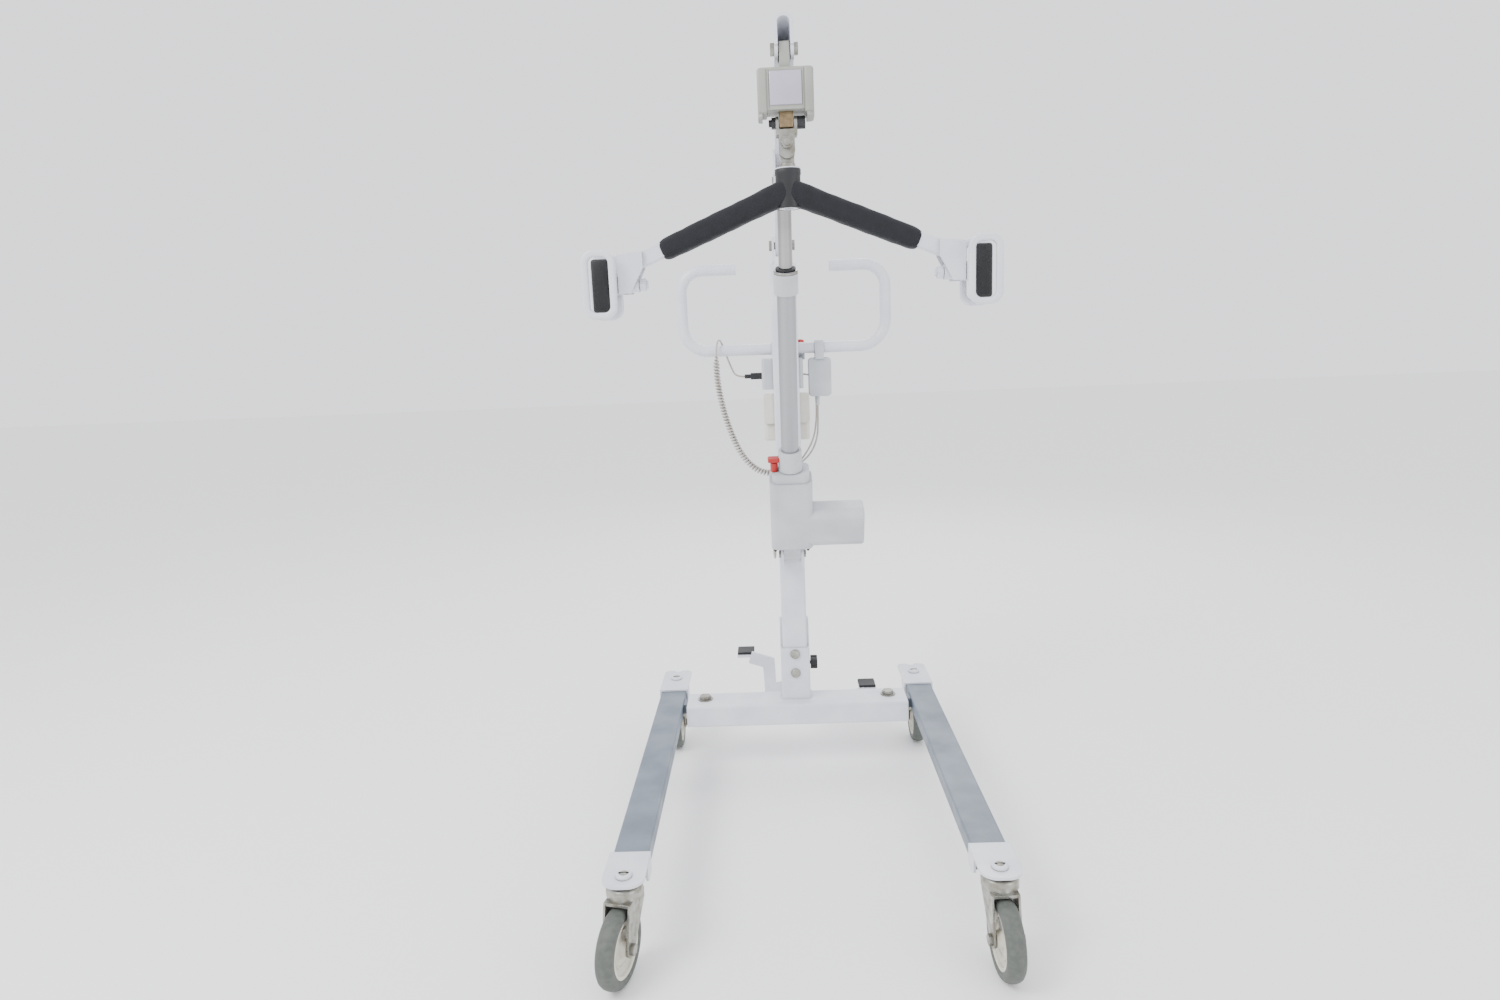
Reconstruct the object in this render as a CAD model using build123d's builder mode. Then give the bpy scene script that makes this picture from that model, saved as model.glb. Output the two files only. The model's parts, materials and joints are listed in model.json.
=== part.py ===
"""Mobile patient lift: two low legs on casters, a mast, a powered boom and a spreader bar.

+Z is up, +X is the right-hand side seen from the patient's end and -Y points to the
patient's end, where the open ends of the legs are. The origin lies on the floor under
the middle of the object. Lengths are millimetres and angles are degrees.
"""
import os
from math import cos, degrees, radians, sin, tan

from build123d import *

os.makedirs("parts", exist_ok=True)

# ---------------------------------------------------------------- driving dimensions
mast_y = 318.0                # mast axis behind the origin
running = 0.05                # radial clearance of a shaft that turns in a bore
loose = 0.2                   # radial clearance of a bolt in its hole
gap = 0.5                     # clearance between flat faces that pass each other

# base
wheel_diameter = 125.0
tyre_width = 30.0
tyre_thickness = 17.0
leg_spacing = 592.0           # between the legs' centre lines
leg_width = 60.0
leg_height = 30.0
leg_wall = 3.0
leg_clearance = 3.0           # leg's underside above the tyres
leg_front = 690.0             # leg tube's front end, ahead of the mast axis
leg_back = 62.0               # leg tube's rear end, behind the mast axis
beam_half_length = 256.0
beam_front = 67.0             # beam's front face, ahead of the mast axis
beam_back = 19.0              # beam's back face, behind the mast axis
beam_height = 50.0
beam_wall = 4.0
leg_pivot_x = 215.0
leg_pivot_forward = 20.0      # leg pivot, ahead of the mast axis
pivot_bolt_radius = 8.0

# leg brackets and casters
bracket_thickness = 4.0
front_caster_forward = 738.0  # front swivel axis, ahead of the mast axis
rear_caster_back = 108.0      # rear swivel axis, behind the mast axis
front_bracket_overlap = 70.0  # bracket's inner end to its swivel axis
rear_bracket_overlap = 73.0
bracket_nose = 30.0           # swivel axis to the bracket's outer end
rear_bracket_nose = 57.0
caster_trail = 35.0
dome_radius = 29.5
kingpin_radius = 6.0
axle_radius = 5.0
fork_thickness = 3.5
fork_inside = 38.0            # between the fork's two side plates
left_heading = -15.0          # how far the front left caster has swung outwards
right_heading = 3.0

# mast and handle
mast_width = 57.0
mast_wall = 3.0
mast_top = 1150.0
socket_wall = 5.0
socket_top = 282.0
cheek_top = 345.0
boom_pivot_z = 1191.0
handle_radius = 12.5
handle_half_width = 229.5
handle_low_z = 968.5
handle_high_z = 1148.0
handle_end_x = 105.0
handle_back = 47.0            # handle's plane, behind the mast axis

# boom
boom_angle = 19.5             # above the horizontal at rest
boom_length = 682.0           # pivot to tip pin, along the boom
boom_width = 28.0
boom_height = 50.0
boom_wall = 3.0
tip_drop = 22.0               # tip pin below the boom's centre line

# actuator
foot_forward = 87.0           # lower pivot, ahead of the mast axis
foot_z = 521.0
rod_pin_forward = 360.0       # upper pivot, ahead of the mast axis
rod_pin_z = 1268.0
rod_radius = 13.0
tube_radius = 18.0
slot_travel = 21.0            # lost motion of the rod's pin in the boom
slot_play = 1.2               # side play of the pin in that slot

# scale, swivel and spreader
lower_pin_drop = 100.0        # tip pin to the scale's lower pin
tilt_bolt_drop = 30.0         # scale's lower pin to the tilt bolt
hub_top_drop = 63.0           # scale's lower pin to the hub's collar
hub_height = 57.0
hub_radius = 14.0
arm_fall = 22.5               # the arms slope down by this angle
arm_height = 20.0
arm_depth = 24.0
arm_reach = 231.0             # centre to the arm's end
pad_end_gap = 37.0            # pad's end to the arm's end
pad_reach = arm_reach - pad_end_gap
pad_height = 34.0
hook_bolt_z_drop = 220.0      # scale's lower pin to the hook bolts
hook_bar = 10.0
hook_height = 100.0
hook_width = 50.0
hook_spread = 31.0            # each loop's plane, from the spreader's plane

# ---------------------------------------------------------------- worked-out places
leg_bottom = wheel_diameter + leg_clearance
leg_top = leg_bottom + leg_height
leg_mid = (leg_bottom + leg_top) / 2
beam_top = leg_top
beam_bottom = beam_top - beam_height
beam_mid = (beam_top + beam_bottom) / 2
pivot_y = mast_y - leg_pivot_forward
half_mast = mast_width / 2
boom_slope = radians(boom_angle)
tip_y = mast_y - boom_length * cos(boom_slope) - tip_drop * sin(boom_slope)
tip_z = boom_pivot_z + boom_length * sin(boom_slope) - tip_drop * cos(boom_slope)
lower_pin_z = tip_z - lower_pin_drop
tilt_bolt_z = lower_pin_z - tilt_bolt_drop
hub_top = lower_pin_z - hub_top_drop
hook_bolt_z = lower_pin_z - hook_bolt_z_drop
foot_y = mast_y - foot_forward
rod_pin_y = mast_y - rod_pin_forward
handle_y = mast_y + handle_back


def save(builder, name):
    """Label a finished piece and write it under its node name."""
    builder.part.label = name
    export_step(builder.part, f"parts/{name}.step")


def facing_front(x, y, z):
    """A plane that faces the patient's end: local X is right and local Y is up."""
    return Plane(origin=(x, y, z), x_dir=(1, 0, 0), z_dir=(0, -1, 0))


def facing_side(x, y, z):
    """A plane that faces right: local X is towards the back and local Y is up."""
    return Plane(origin=(x, y, z), x_dir=(0, 1, 0), z_dir=(1, 0, 0))


def level(z, x=0.0, y=0.0):
    """A horizontal plane at height z."""
    return Plane(origin=(x, y, z))


# ---------------------------------------------------------------- pedal and steering sizes
rocker_shaft_radius = 8.0
rocker_tube_radius = 13.0
rocker_tube_length = 110.0
rocker_arm_thickness = 8.0
left_arm_width = 30.0
right_arm_width = 14.0
rocker_lean = 18.0            # crank angle from its middle position, at rest
crank_radius = 11.9
crank_pin_radius = 3.0
tie_pin_forward = 28.0        # tie pin ahead of the leg pivot
tie_pin_radius = 4.0
tie_bar_width = 15.0
tie_bar_thickness = 6.0
tie_slack = 1.3               # radial play of the tie bars on their pins
lug_half_width = 18.0
lug_height = 24.0
tie_y = pivot_y - tie_pin_forward
left_pad = (-121.0, 73.0)     # pedal centres, from the rocker's axis
right_pad = (184.0, -24.0)
left_arm = [(0, 0), (-61, -22), (-64, 55), (-110, 70)]
right_arm = [(0, 0), (45, -34), (130, -36), (176, -27)]
pedal_size = (42.0, 46.0)
pedal_plate = 5.0
pedal_rubber = 6.0

# ---------------------------------------------------------------- base beam
beam_depth = beam_front + beam_back
beam_centre_y = mast_y - (beam_front - beam_back) / 2
beam_back_y = mast_y + beam_back
rocker_tube_end = beam_back_y + rocker_tube_length

with BuildPart() as base_beam:
    with BuildSketch(facing_side(0, beam_centre_y, beam_mid)):
        RectangleRounded(beam_depth, beam_height, 5)
    extrude(amount=beam_half_length, both=True)
    with BuildSketch(facing_front(0, rocker_tube_end, beam_mid)):
        Circle(rocker_tube_radius)
    extrude(amount=rocker_tube_length + beam_wall / 2)
    with BuildSketch(facing_side(0, beam_centre_y, beam_mid)):
        RectangleRounded(beam_depth - 2 * beam_wall, beam_height - 2 * beam_wall, 2)
    extrude(amount=beam_half_length, both=True, mode=Mode.SUBTRACT)
    with BuildSketch(facing_front(0, rocker_tube_end, beam_mid)):
        Circle(rocker_shaft_radius + running)
    extrude(amount=rocker_tube_length + beam_wall, mode=Mode.SUBTRACT)
    with BuildSketch(level(beam_bottom, 0, pivot_y)):
        with Locations((-leg_pivot_x, 0), (leg_pivot_x, 0)):
            Circle(pivot_bolt_radius + loose)
    extrude(amount=beam_height, mode=Mode.SUBTRACT)
save(base_beam, "base_beam")

bolt_washer = 2.5
bolt_head = 7.5
with BuildPart() as leg_pivot_bolts:
    for side in (-1, 1):
        with BuildSketch(level(beam_bottom - bolt_head, side * leg_pivot_x, pivot_y)):
            RegularPolygon(13, 6)
        extrude(amount=bolt_head)
        with BuildSketch(level(beam_bottom, side * leg_pivot_x, pivot_y)):
            Circle(pivot_bolt_radius)
        extrude(amount=beam_height)
        with BuildSketch(level(beam_top, side * leg_pivot_x, pivot_y)):
            Circle(17)
        extrude(amount=bolt_washer)
        with BuildSketch(level(beam_top + bolt_washer, side * leg_pivot_x, pivot_y)):
            RegularPolygon(13, 6)
        extrude(amount=bolt_head)
save(leg_pivot_bolts, "leg_pivot_bolts")

# ---------------------------------------------------------------- mast socket and mast
socket_half = half_mast + socket_wall
cheek_front = 12.0            # upper cheek's front edge, ahead of the mast axis
socket_bolt_heights = (268.0, 222.0)
socket_bolt_radius = 6.0
clamp_z = 232.0
clamp_y = mast_y + 8
clamp_stem_radius = 4.0

with BuildPart() as mast_socket:
    with BuildSketch(level(beam_top, 0, mast_y)):
        RectangleRounded(2 * socket_half, 2 * socket_half, 4)
        Rectangle(mast_width + 2 * loose, mast_width + 2 * loose, mode=Mode.SUBTRACT)
    extrude(amount=socket_top - beam_top)
    for side in (-1, 1):
        with BuildSketch(facing_side(side * (half_mast + loose), mast_y, 0)):
            cheek_back = half_mast
            with Locations(((cheek_back - cheek_front) / 2, (beam_top + cheek_top) / 2)):
                RectangleRounded(cheek_back + cheek_front, cheek_top - beam_top, 18)
        extrude(amount=side * (socket_wall - loose))
    with BuildSketch(facing_front(0, mast_y, 0)):
        for height in socket_bolt_heights:
            with Locations((0, height)):
                Circle(socket_bolt_radius + loose)
    extrude(amount=socket_half, both=True, mode=Mode.SUBTRACT)
    with BuildSketch(facing_side(0, clamp_y, clamp_z)):
        Circle(clamp_stem_radius + running)
    extrude(amount=socket_half + 1, mode=Mode.SUBTRACT)
save(mast_socket, "mast_socket")

dome_height = 5.0
with BuildPart() as mast_socket_bolts:
    for height in socket_bolt_heights:
        with BuildSketch(facing_front(0, mast_y + socket_half, height)):
            Circle(socket_bolt_radius)
        extrude(amount=2 * socket_half)
        with BuildSketch(facing_front(0, mast_y - socket_half, height)):
            Circle(11)
        extrude(amount=dome_height)
        with BuildSketch(facing_front(0, mast_y + socket_half + dome_height, height)):
            RegularPolygon(10, 6)
        extrude(amount=dome_height)
    fillet(mast_socket_bolts.edges().group_by(Axis.Y)[0], 3)
save(mast_socket_bolts, "mast_socket_bolts")

with BuildPart() as mast_clamp_knob:
    with BuildSketch(facing_side(half_mast + 2 * loose, clamp_y, clamp_z)):
        Circle(clamp_stem_radius)
    extrude(amount=socket_wall + 6)
    with BuildSketch(facing_side(socket_half + 3, clamp_y, clamp_z)):
        Circle(13)
        with PolarLocations(13, 5):
            Circle(4)
    extrude(amount=16)
    fillet(mast_clamp_knob.faces().sort_by(Axis.X)[-1].edges(), 1.5)
save(mast_clamp_knob, "mast_clamp_knob")

head_cheek = 5.0
head_inside = boom_width / 2 + 3
head_radius = 22.0
boom_bolt_radius = 8.0
with BuildPart() as mast:
    with BuildSketch(level(beam_top, 0, mast_y)):
        RectangleRounded(mast_width, mast_width, 5)
        RectangleRounded(mast_width - 2 * mast_wall, mast_width - 2 * mast_wall, 2, mode=Mode.SUBTRACT)
    extrude(amount=mast_top - beam_top)
    with BuildSketch(level(mast_top - 6, 0, mast_y)):
        RectangleRounded(mast_width, mast_width, 5)
    extrude(amount=6)
    for side in (-1, 1):
        with BuildSketch(facing_side(side * head_inside, mast_y, boom_pivot_z)):
            Circle(head_radius)
            with Locations((0, (mast_top - boom_pivot_z) / 2)):
                Rectangle(2 * head_radius, boom_pivot_z - mast_top)
            Circle(boom_bolt_radius + loose, mode=Mode.SUBTRACT)
        extrude(amount=side * head_cheek)
    with BuildSketch(facing_front(0, mast_y, 0)):
        for height in socket_bolt_heights:
            with Locations((0, height)):
                Circle(socket_bolt_radius + loose)
    extrude(amount=mast_width, both=True, mode=Mode.SUBTRACT)
save(mast, "mast")

boom_bolt_half = head_inside + head_cheek
with BuildPart() as boom_pivot_bolt:
    with BuildSketch(facing_side(-boom_bolt_half, mast_y, boom_pivot_z)):
        Circle(boom_bolt_radius)
    extrude(amount=2 * boom_bolt_half)
    for side in (-1, 1):
        with BuildSketch(facing_side(side * boom_bolt_half, mast_y, boom_pivot_z)):
            RegularPolygon(12, 6)
        extrude(amount=side * 6)
save(boom_pivot_bolt, "boom_pivot_bolt")

# ---------------------------------------------------------------- push handle
handle_path_points = [
    (-handle_end_x, handle_high_z),
    (-handle_half_width, handle_high_z),
    (-handle_half_width, handle_low_z),
    (handle_half_width, handle_low_z),
    (handle_half_width, handle_high_z),
    (handle_end_x, handle_high_z),
]
with BuildPart() as push_handle:
    with BuildLine(facing_front(0, handle_y, 0)) as handle_line:
        FilletPolyline(*handle_path_points, radius=[48, 58, 58, 48])
    with BuildSketch(facing_side(-handle_end_x, handle_y, handle_high_z)):
        Circle(handle_radius)
    sweep(path=handle_line.wires()[0])
save(push_handle, "push_handle")

clamp_half = 30.0
clamp_height = 34.0
with BuildPart() as handle_bracket:
    bracket_depth = handle_back - half_mast + 16
    with BuildSketch(facing_side(-clamp_half, mast_y + half_mast + bracket_depth / 2, handle_low_z)):
        RectangleRounded(bracket_depth, clamp_height, 5)
    extrude(amount=2 * clamp_half)
    with BuildSketch(facing_side(-clamp_half, handle_y, handle_low_z)):
        Circle(handle_radius + loose)
    extrude(amount=2 * clamp_half, mode=Mode.SUBTRACT)
save(handle_bracket, "handle_bracket")

# ---------------------------------------------------------------- control box, battery, stop button
box_left, box_right = -54.0, 40.0
box_low, box_high = 878.0, 947.0
box_front = mast_y + half_mast
box_depth = 66.0
tower_x, tower_back, tower_top = 38.0, 76.0, 972.0
stop_stem_radius = 5.0
with BuildPart() as control_box:
    with BuildSketch(level(box_low, (box_left + box_right) / 2, box_front + box_depth / 2)):
        RectangleRounded(box_right - box_left, box_depth, 7)
    extrude(amount=box_high - box_low)
    fillet(control_box.faces().sort_by(Axis.Z)[-1].edges(), 3)
    with BuildSketch(level(box_high - 5, tower_x - 4, mast_y + tower_back)):
        RectangleRounded(24, 24, 5)
    extrude(amount=tower_top - box_high + 5)
    with BuildSketch(level(tower_top - 16, tower_x - 4, mast_y + tower_back)):
        Circle(stop_stem_radius + running)
    extrude(amount=16, mode=Mode.SUBTRACT)
save(control_box, "control_box")

stop_travel = 4.0
with BuildPart() as stop_button:
    with BuildSketch(level(tower_top - 8, tower_x - 4, mast_y + tower_back)):
        Circle(stop_stem_radius)
    extrude(amount=8 + stop_travel + 2)
    with BuildSketch(level(tower_top + stop_travel + gap, tower_x - 4, mast_y + tower_back)):
        Circle(12)
    extrude(amount=12)
    fillet(stop_button.faces().sort_by(Axis.Z)[-1].edges(), 6)
save(stop_button, "stop_button")

battery_low, battery_high = 760.0, 864.0
battery_half = 52.0
battery_depth = 74.0
holder_thickness = 8.0
with BuildPart() as battery_bracket:
    with BuildSketch(facing_front(0, box_front + holder_thickness, 834)):
        RectangleRounded(2 * battery_half, 68, 6)
    extrude(amount=holder_thickness)
    with BuildSketch(facing_front(0, box_front + holder_thickness, 782)):
        Rectangle(40, 60)
    extrude(amount=holder_thickness)
save(battery_bracket, "battery_bracket")

with BuildPart() as battery_pack:
    with BuildSketch(level(battery_low, 0, box_front + holder_thickness + gap + battery_depth / 2)):
        RectangleRounded(2 * battery_half, battery_depth, 9)
    extrude(amount=battery_high - battery_low)
    fillet(battery_pack.faces().sort_by(Axis.Z)[-1].edges(), 4)
    fillet(battery_pack.faces().sort_by(Axis.Z)[0].edges(), 4)
save(battery_pack, "battery_pack")

# ---------------------------------------------------------------- pedal rocker and tie bars
crank_y = tie_y + tie_bar_width / 2 + 1
lean = radians(rocker_lean)
high_pin = (crank_radius * sin(lean), crank_radius * cos(lean))
low_pin = (-crank_radius * sin(lean), -crank_radius * cos(lean))
arm_front = rocker_tube_end + 2
with BuildPart() as pedal_rocker:
    with BuildSketch(facing_front(0, arm_front, beam_mid)):
        Circle(rocker_shaft_radius)
    extrude(amount=arm_front - crank_y)
    with BuildSketch(facing_front(0, crank_y + 8, beam_mid)):
        Circle(crank_radius + crank_pin_radius + 3)
    extrude(amount=8)
    with BuildSketch(facing_front(0, crank_y, beam_mid)):
        with Locations(high_pin, low_pin):
            Circle(crank_pin_radius)
    extrude(amount=tie_bar_width)
    for route, width in ((left_arm, left_arm_width), (right_arm, right_arm_width)):
        with BuildSketch(facing_front(0, arm_front + rocker_arm_thickness, beam_mid)):
            with BuildLine():
                Polyline(*route)
            trace(line_width=width)
            Circle(rocker_tube_radius)
        extrude(amount=rocker_arm_thickness)
    for pad in (left_pad, right_pad):
        pad_back = arm_front + pedal_size[1] + rocker_arm_thickness
        with BuildSketch(facing_front(0, pad_back, beam_mid)):
            with Locations(pad):
                Rectangle(pedal_size[0], pedal_plate)
        extrude(amount=pedal_size[1] + rocker_arm_thickness)
save(pedal_rocker, "pedal_rocker")

with BuildPart() as pedal_pads:
    for pad in (left_pad, right_pad):
        pad_back = arm_front + pedal_size[1] + rocker_arm_thickness
        with BuildSketch(facing_front(0, pad_back, beam_mid)):
            with Locations((pad[0], pad[1] + (pedal_plate + pedal_rubber) / 2)):
                RectangleRounded(pedal_size[0], pedal_rubber, 2)
        extrude(amount=pedal_size[1])
save(pedal_pads, "pedal_pads")


def tie_bar(side, pin):
    """A bar from one crank pin to one leg's tie pin, with an eye at each end."""
    eye_radius = crank_pin_radius + tie_slack + 3
    height = beam_mid + pin[1]
    with BuildPart() as bar:
        with BuildSketch(level(height - tie_bar_thickness / 2, 0, tie_y)):
            with Locations(((side * leg_pivot_x + pin[0]) / 2, 0)):
                Rectangle(abs(side * leg_pivot_x - pin[0]), tie_bar_width)
            with Locations((side * leg_pivot_x, 0)):
                Circle(tie_bar_width / 2)
        extrude(amount=tie_bar_thickness)
        with BuildSketch(facing_front(pin[0], tie_y + tie_bar_width / 2, height)):
            Circle(eye_radius)
        extrude(amount=tie_bar_width)
        with BuildSketch(facing_front(pin[0], tie_y + tie_bar_width / 2, height)):
            Circle(crank_pin_radius + tie_slack)
        extrude(amount=tie_bar_width, mode=Mode.SUBTRACT)
        with BuildSketch(level(height - tie_bar_thickness / 2, side * leg_pivot_x, tie_y)):
            Circle(tie_pin_radius + tie_slack)
        extrude(amount=tie_bar_thickness, mode=Mode.SUBTRACT)
    return bar


save(tie_bar(-1, high_pin), "tie_bar_left")
save(tie_bar(1, low_pin), "tie_bar_right")

# ---------------------------------------------------------------- legs
tie_arm_height = 10.0


def leg_tube(side):
    """A leg: a low rectangular tube with the pivot lug that enters the beam."""
    inner_face = leg_spacing / 2 - leg_width / 2
    lug_length = inner_face + 1 - leg_pivot_x
    pin_z = beam_mid + side * -1 * crank_radius * cos(lean)
    pin_end = pin_z - side * tie_bar_thickness
    with BuildPart() as leg:
        with BuildSketch(facing_front(side * leg_spacing / 2, mast_y + leg_back, leg_mid)):
            RectangleRounded(leg_width, leg_height, 4)
            RectangleRounded(leg_width - 2 * leg_wall, leg_height - 2 * leg_wall, 1.5, mode=Mode.SUBTRACT)
        extrude(amount=leg_back + leg_front)
        with BuildSketch(level(leg_mid - lug_height / 2, side * leg_pivot_x, pivot_y)):
            Circle(lug_half_width)
            with Locations((side * lug_length / 2, 0)):
                Rectangle(lug_length, 2 * lug_half_width)
        extrude(amount=lug_height - 2)
        with BuildSketch(level(beam_mid - tie_arm_height / 2, side * leg_pivot_x, pivot_y)):
            with Locations((0, -tie_pin_forward / 2)):
                Rectangle(tie_bar_width, tie_pin_forward)
            with Locations((0, -tie_pin_forward)):
                Circle(tie_bar_width / 2)
            Circle(lug_half_width)
        extrude(amount=tie_arm_height)
        with BuildSketch(level(beam_mid, side * leg_pivot_x, tie_y)):
            Circle(tie_pin_radius)
        extrude(amount=pin_end - beam_mid)
        with BuildSketch(level(beam_bottom, side * leg_pivot_x, pivot_y)):
            Circle(pivot_bolt_radius + running)
        extrude(amount=beam_height, mode=Mode.SUBTRACT)
    return leg


flange_length = 40.0
cap_radius = 13.0
cap_height = 6.0


def leg_bracket(side, caster_y, overlap, nose, towards_front):
    """A bent plate that wraps a leg's end and holds a caster's king pin."""
    out = -1 if towards_front else 1
    inner_end = caster_y - out * overlap
    width = leg_width + 2 * bracket_thickness
    plate_length = overlap + nose
    plate_y = inner_end + out * plate_length / 2
    with BuildPart() as bracket:
        with BuildSketch(level(leg_top, side * leg_spacing / 2, plate_y)):
            Rectangle(width, plate_length)
        extrude(amount=bracket_thickness)
        corners = bracket.edges().filter_by(Axis.Z).group_by(Axis.Y)
        if towards_front:
            fillet(corners[0], 27)
        else:
            fillet(corners[-1], 14)
            with BuildSketch(level(leg_top, side * leg_spacing / 2, caster_y + nose)):
                Circle(9)
            extrude(amount=bracket_thickness, mode=Mode.SUBTRACT)
        for flank in (-1, 1):
            flank_x = side * leg_spacing / 2 + flank * leg_width / 2
            with BuildSketch(facing_side(flank_x, inner_end + out * flange_length / 2, leg_mid)):
                Rectangle(flange_length, leg_height)
            extrude(amount=flank * bracket_thickness)
        lower = bracket.edges().filter_by(Axis.X).group_by(Axis.Z)[0]
        outer_lower = lower.group_by(Axis.Y)[0 if towards_front else -1]
        fillet(outer_lower, 12)
        with BuildSketch(level(leg_bottom + 4, side * leg_spacing / 2, caster_y)):
            Circle(kingpin_radius)
        extrude(amount=leg_height + bracket_thickness - 4)
        with BuildSketch(level(leg_top + bracket_thickness, side * leg_spacing / 2, caster_y)):
            Circle(cap_radius)
        extrude(amount=cap_height)
        fillet(bracket.faces().sort_by(Axis.Z)[-1].edges(), 4)
    return bracket


front_caster_y = mast_y - front_caster_forward
rear_caster_y = mast_y + rear_caster_back
for side, hand in ((-1, "left"), (1, "right")):
    save(leg_tube(side), f"leg_{hand}_tube")
    front = leg_bracket(side, front_caster_y, front_bracket_overlap, bracket_nose, True)
    save(front, f"leg_{hand}_front_bracket")
    rear = leg_bracket(side, rear_caster_y, rear_bracket_overlap, rear_bracket_nose, False)
    save(rear, f"leg_{hand}_rear_bracket")

# ---------------------------------------------------------------- casters
wheel_radius = wheel_diameter / 2
crown_bottom = wheel_diameter + leg_clearance + 0.5
crown_top = crown_bottom + 5
dome_top = leg_top - 4.5
fork_half = fork_inside / 2 + fork_thickness
hub_rim_radius = wheel_radius - tyre_thickness
brake_pin_ahead = 30.0        # brake pin, on the leading side of the swivel axis
brake_pin_z = crown_bottom - 6.5
brake_pin_radius = 2.5
brake_length = 40.0
brake_width = 34.0


def caster_frame(x, y, heading, z=0.0):
    """A level plane on a caster's swivel axis; the wheel trails along its local -Y."""
    turn = radians(heading)
    return Plane(origin=(x, y, z), x_dir=(cos(turn), sin(turn), 0), z_dir=(0, 0, 1))


def across(frame, lateral):
    """The plane of the wheel, shifted sideways; local X is ahead and local Y is up."""
    start = frame.from_local_coords(Vector(lateral, 0, 0))
    return Plane(origin=start, x_dir=frame.y_dir, z_dir=frame.x_dir)


def caster_fork(frame, braked):
    """Swivel dome, crown and two side plates with the axle between them."""
    crown_front = brake_pin_ahead + 5 if braked else 24.0
    crown_back = 32.0
    with BuildPart() as fork:
        with BuildSketch(frame.offset(crown_top)):
            Circle(dome_radius)
        extrude(amount=dome_top - crown_top)
        fillet(fork.faces().sort_by(Axis.Z)[-1].edges(), 9)
        with BuildSketch(frame.offset(dome_top)):
            Circle(14)
        extrude(amount=leg_top - gap - dome_top)
        with BuildSketch(frame.offset(crown_bottom)):
            with Locations((0, (crown_front - crown_back) / 2)):
                Rectangle(2 * fork_half, crown_front + crown_back)
        extrude(amount=crown_top - crown_bottom)
        for side in (-1, 1):
            with BuildSketch(across(frame, side * fork_inside / 2)):
                with Locations((-caster_trail, wheel_radius)):
                    Circle(13)
                with Locations(((crown_front - crown_back) / 2, crown_top - 8)):
                    Rectangle(crown_front + crown_back, 16)
                make_hull()
            extrude(amount=side * fork_thickness)
            with BuildSketch(across(frame, side * fork_half)):
                with Locations((-caster_trail, wheel_radius)):
                    RegularPolygon(9, 6)
            extrude(amount=side * 6)
        with BuildSketch(across(frame, -fork_half)):
            with Locations((-caster_trail, wheel_radius)):
                Circle(axle_radius)
        extrude(amount=2 * fork_half)
        if braked:
            with BuildSketch(across(frame, -fork_half)):
                with Locations((brake_pin_ahead, brake_pin_z)):
                    Circle(brake_pin_radius)
            extrude(amount=2 * fork_half)
        with BuildSketch(frame.offset(leg_bottom + 4 - gap)):
            Circle(kingpin_radius + running)
        extrude(amount=leg_height, mode=Mode.SUBTRACT)
    return fork


def caster_hub(frame):
    """A moulded wheel centre with a rim band, a recessed disc and a bearing boss."""
    rim_half = tyre_width / 2 - 2
    with BuildPart() as hub:
        with BuildSketch(across(frame, -rim_half)):
            with Locations((-caster_trail, wheel_radius)):
                Circle(hub_rim_radius)
                Circle(hub_rim_radius - 6, mode=Mode.SUBTRACT)
        extrude(amount=2 * rim_half)
        with BuildSketch(across(frame, -6)):
            with Locations((-caster_trail, wheel_radius)):
                Circle(hub_rim_radius - 3)
        extrude(amount=12)
        with BuildSketch(across(frame, -fork_inside / 2 + 1.5)):
            with Locations((-caster_trail, wheel_radius)):
                Circle(13)
        extrude(amount=fork_inside - 3)
        with BuildSketch(across(frame, -fork_inside / 2)):
            with Locations((-caster_trail, wheel_radius)):
                Circle(axle_radius + running)
        extrude(amount=fork_inside, mode=Mode.SUBTRACT)
    return hub


def caster_tyre(frame):
    """A solid tyre with a rounded tread."""
    with BuildPart() as tyre:
        with BuildSketch(across(frame, -tyre_width / 2)):
            with Locations((-caster_trail, wheel_radius)):
                Circle(wheel_radius)
        extrude(amount=tyre_width)
        fillet(tyre.edges().filter_by(GeomType.CIRCLE), 9)
        with BuildSketch(across(frame, -tyre_width / 2)):
            with Locations((-caster_trail, wheel_radius)):
                Circle(hub_rim_radius + running)
        extrude(amount=tyre_width, mode=Mode.SUBTRACT)
    return tyre


def brake_lever(frame):
    """A foot lever hinged on the fork, on its leading side."""
    barrel_radius = 4.5
    with BuildPart() as lever:
        with BuildSketch(across(frame, -brake_width / 2)):
            with Locations((brake_pin_ahead, brake_pin_z)):
                Circle(barrel_radius)
            with Locations((brake_pin_ahead + brake_length / 2, brake_pin_z + 1.5)):
                Rectangle(brake_length, 6)
        extrude(amount=brake_width)
        with BuildSketch(across(frame, -brake_width / 2)):
            with Locations((brake_pin_ahead, brake_pin_z)):
                Circle(brake_pin_radius + running)
        extrude(amount=brake_width, mode=Mode.SUBTRACT)
    return lever


caster_places = (
    ("front_left", -1, front_caster_y, left_heading, False),
    ("front_right", 1, front_caster_y, right_heading, False),
    ("rear_left", -1, rear_caster_y, 0.0, True),
    ("rear_right", 1, rear_caster_y, 0.0, True),
)
for place, side, caster_y, heading, braked in caster_places:
    frame = caster_frame(side * leg_spacing / 2, caster_y, heading)
    save(caster_fork(frame, braked), f"{place}_caster_fork")
    save(caster_hub(frame), f"{place}_wheel_hub")
    save(caster_tyre(frame), f"{place}_tyre")
    if braked:
        save(brake_lever(frame), f"{place}_brake_lever")

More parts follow.
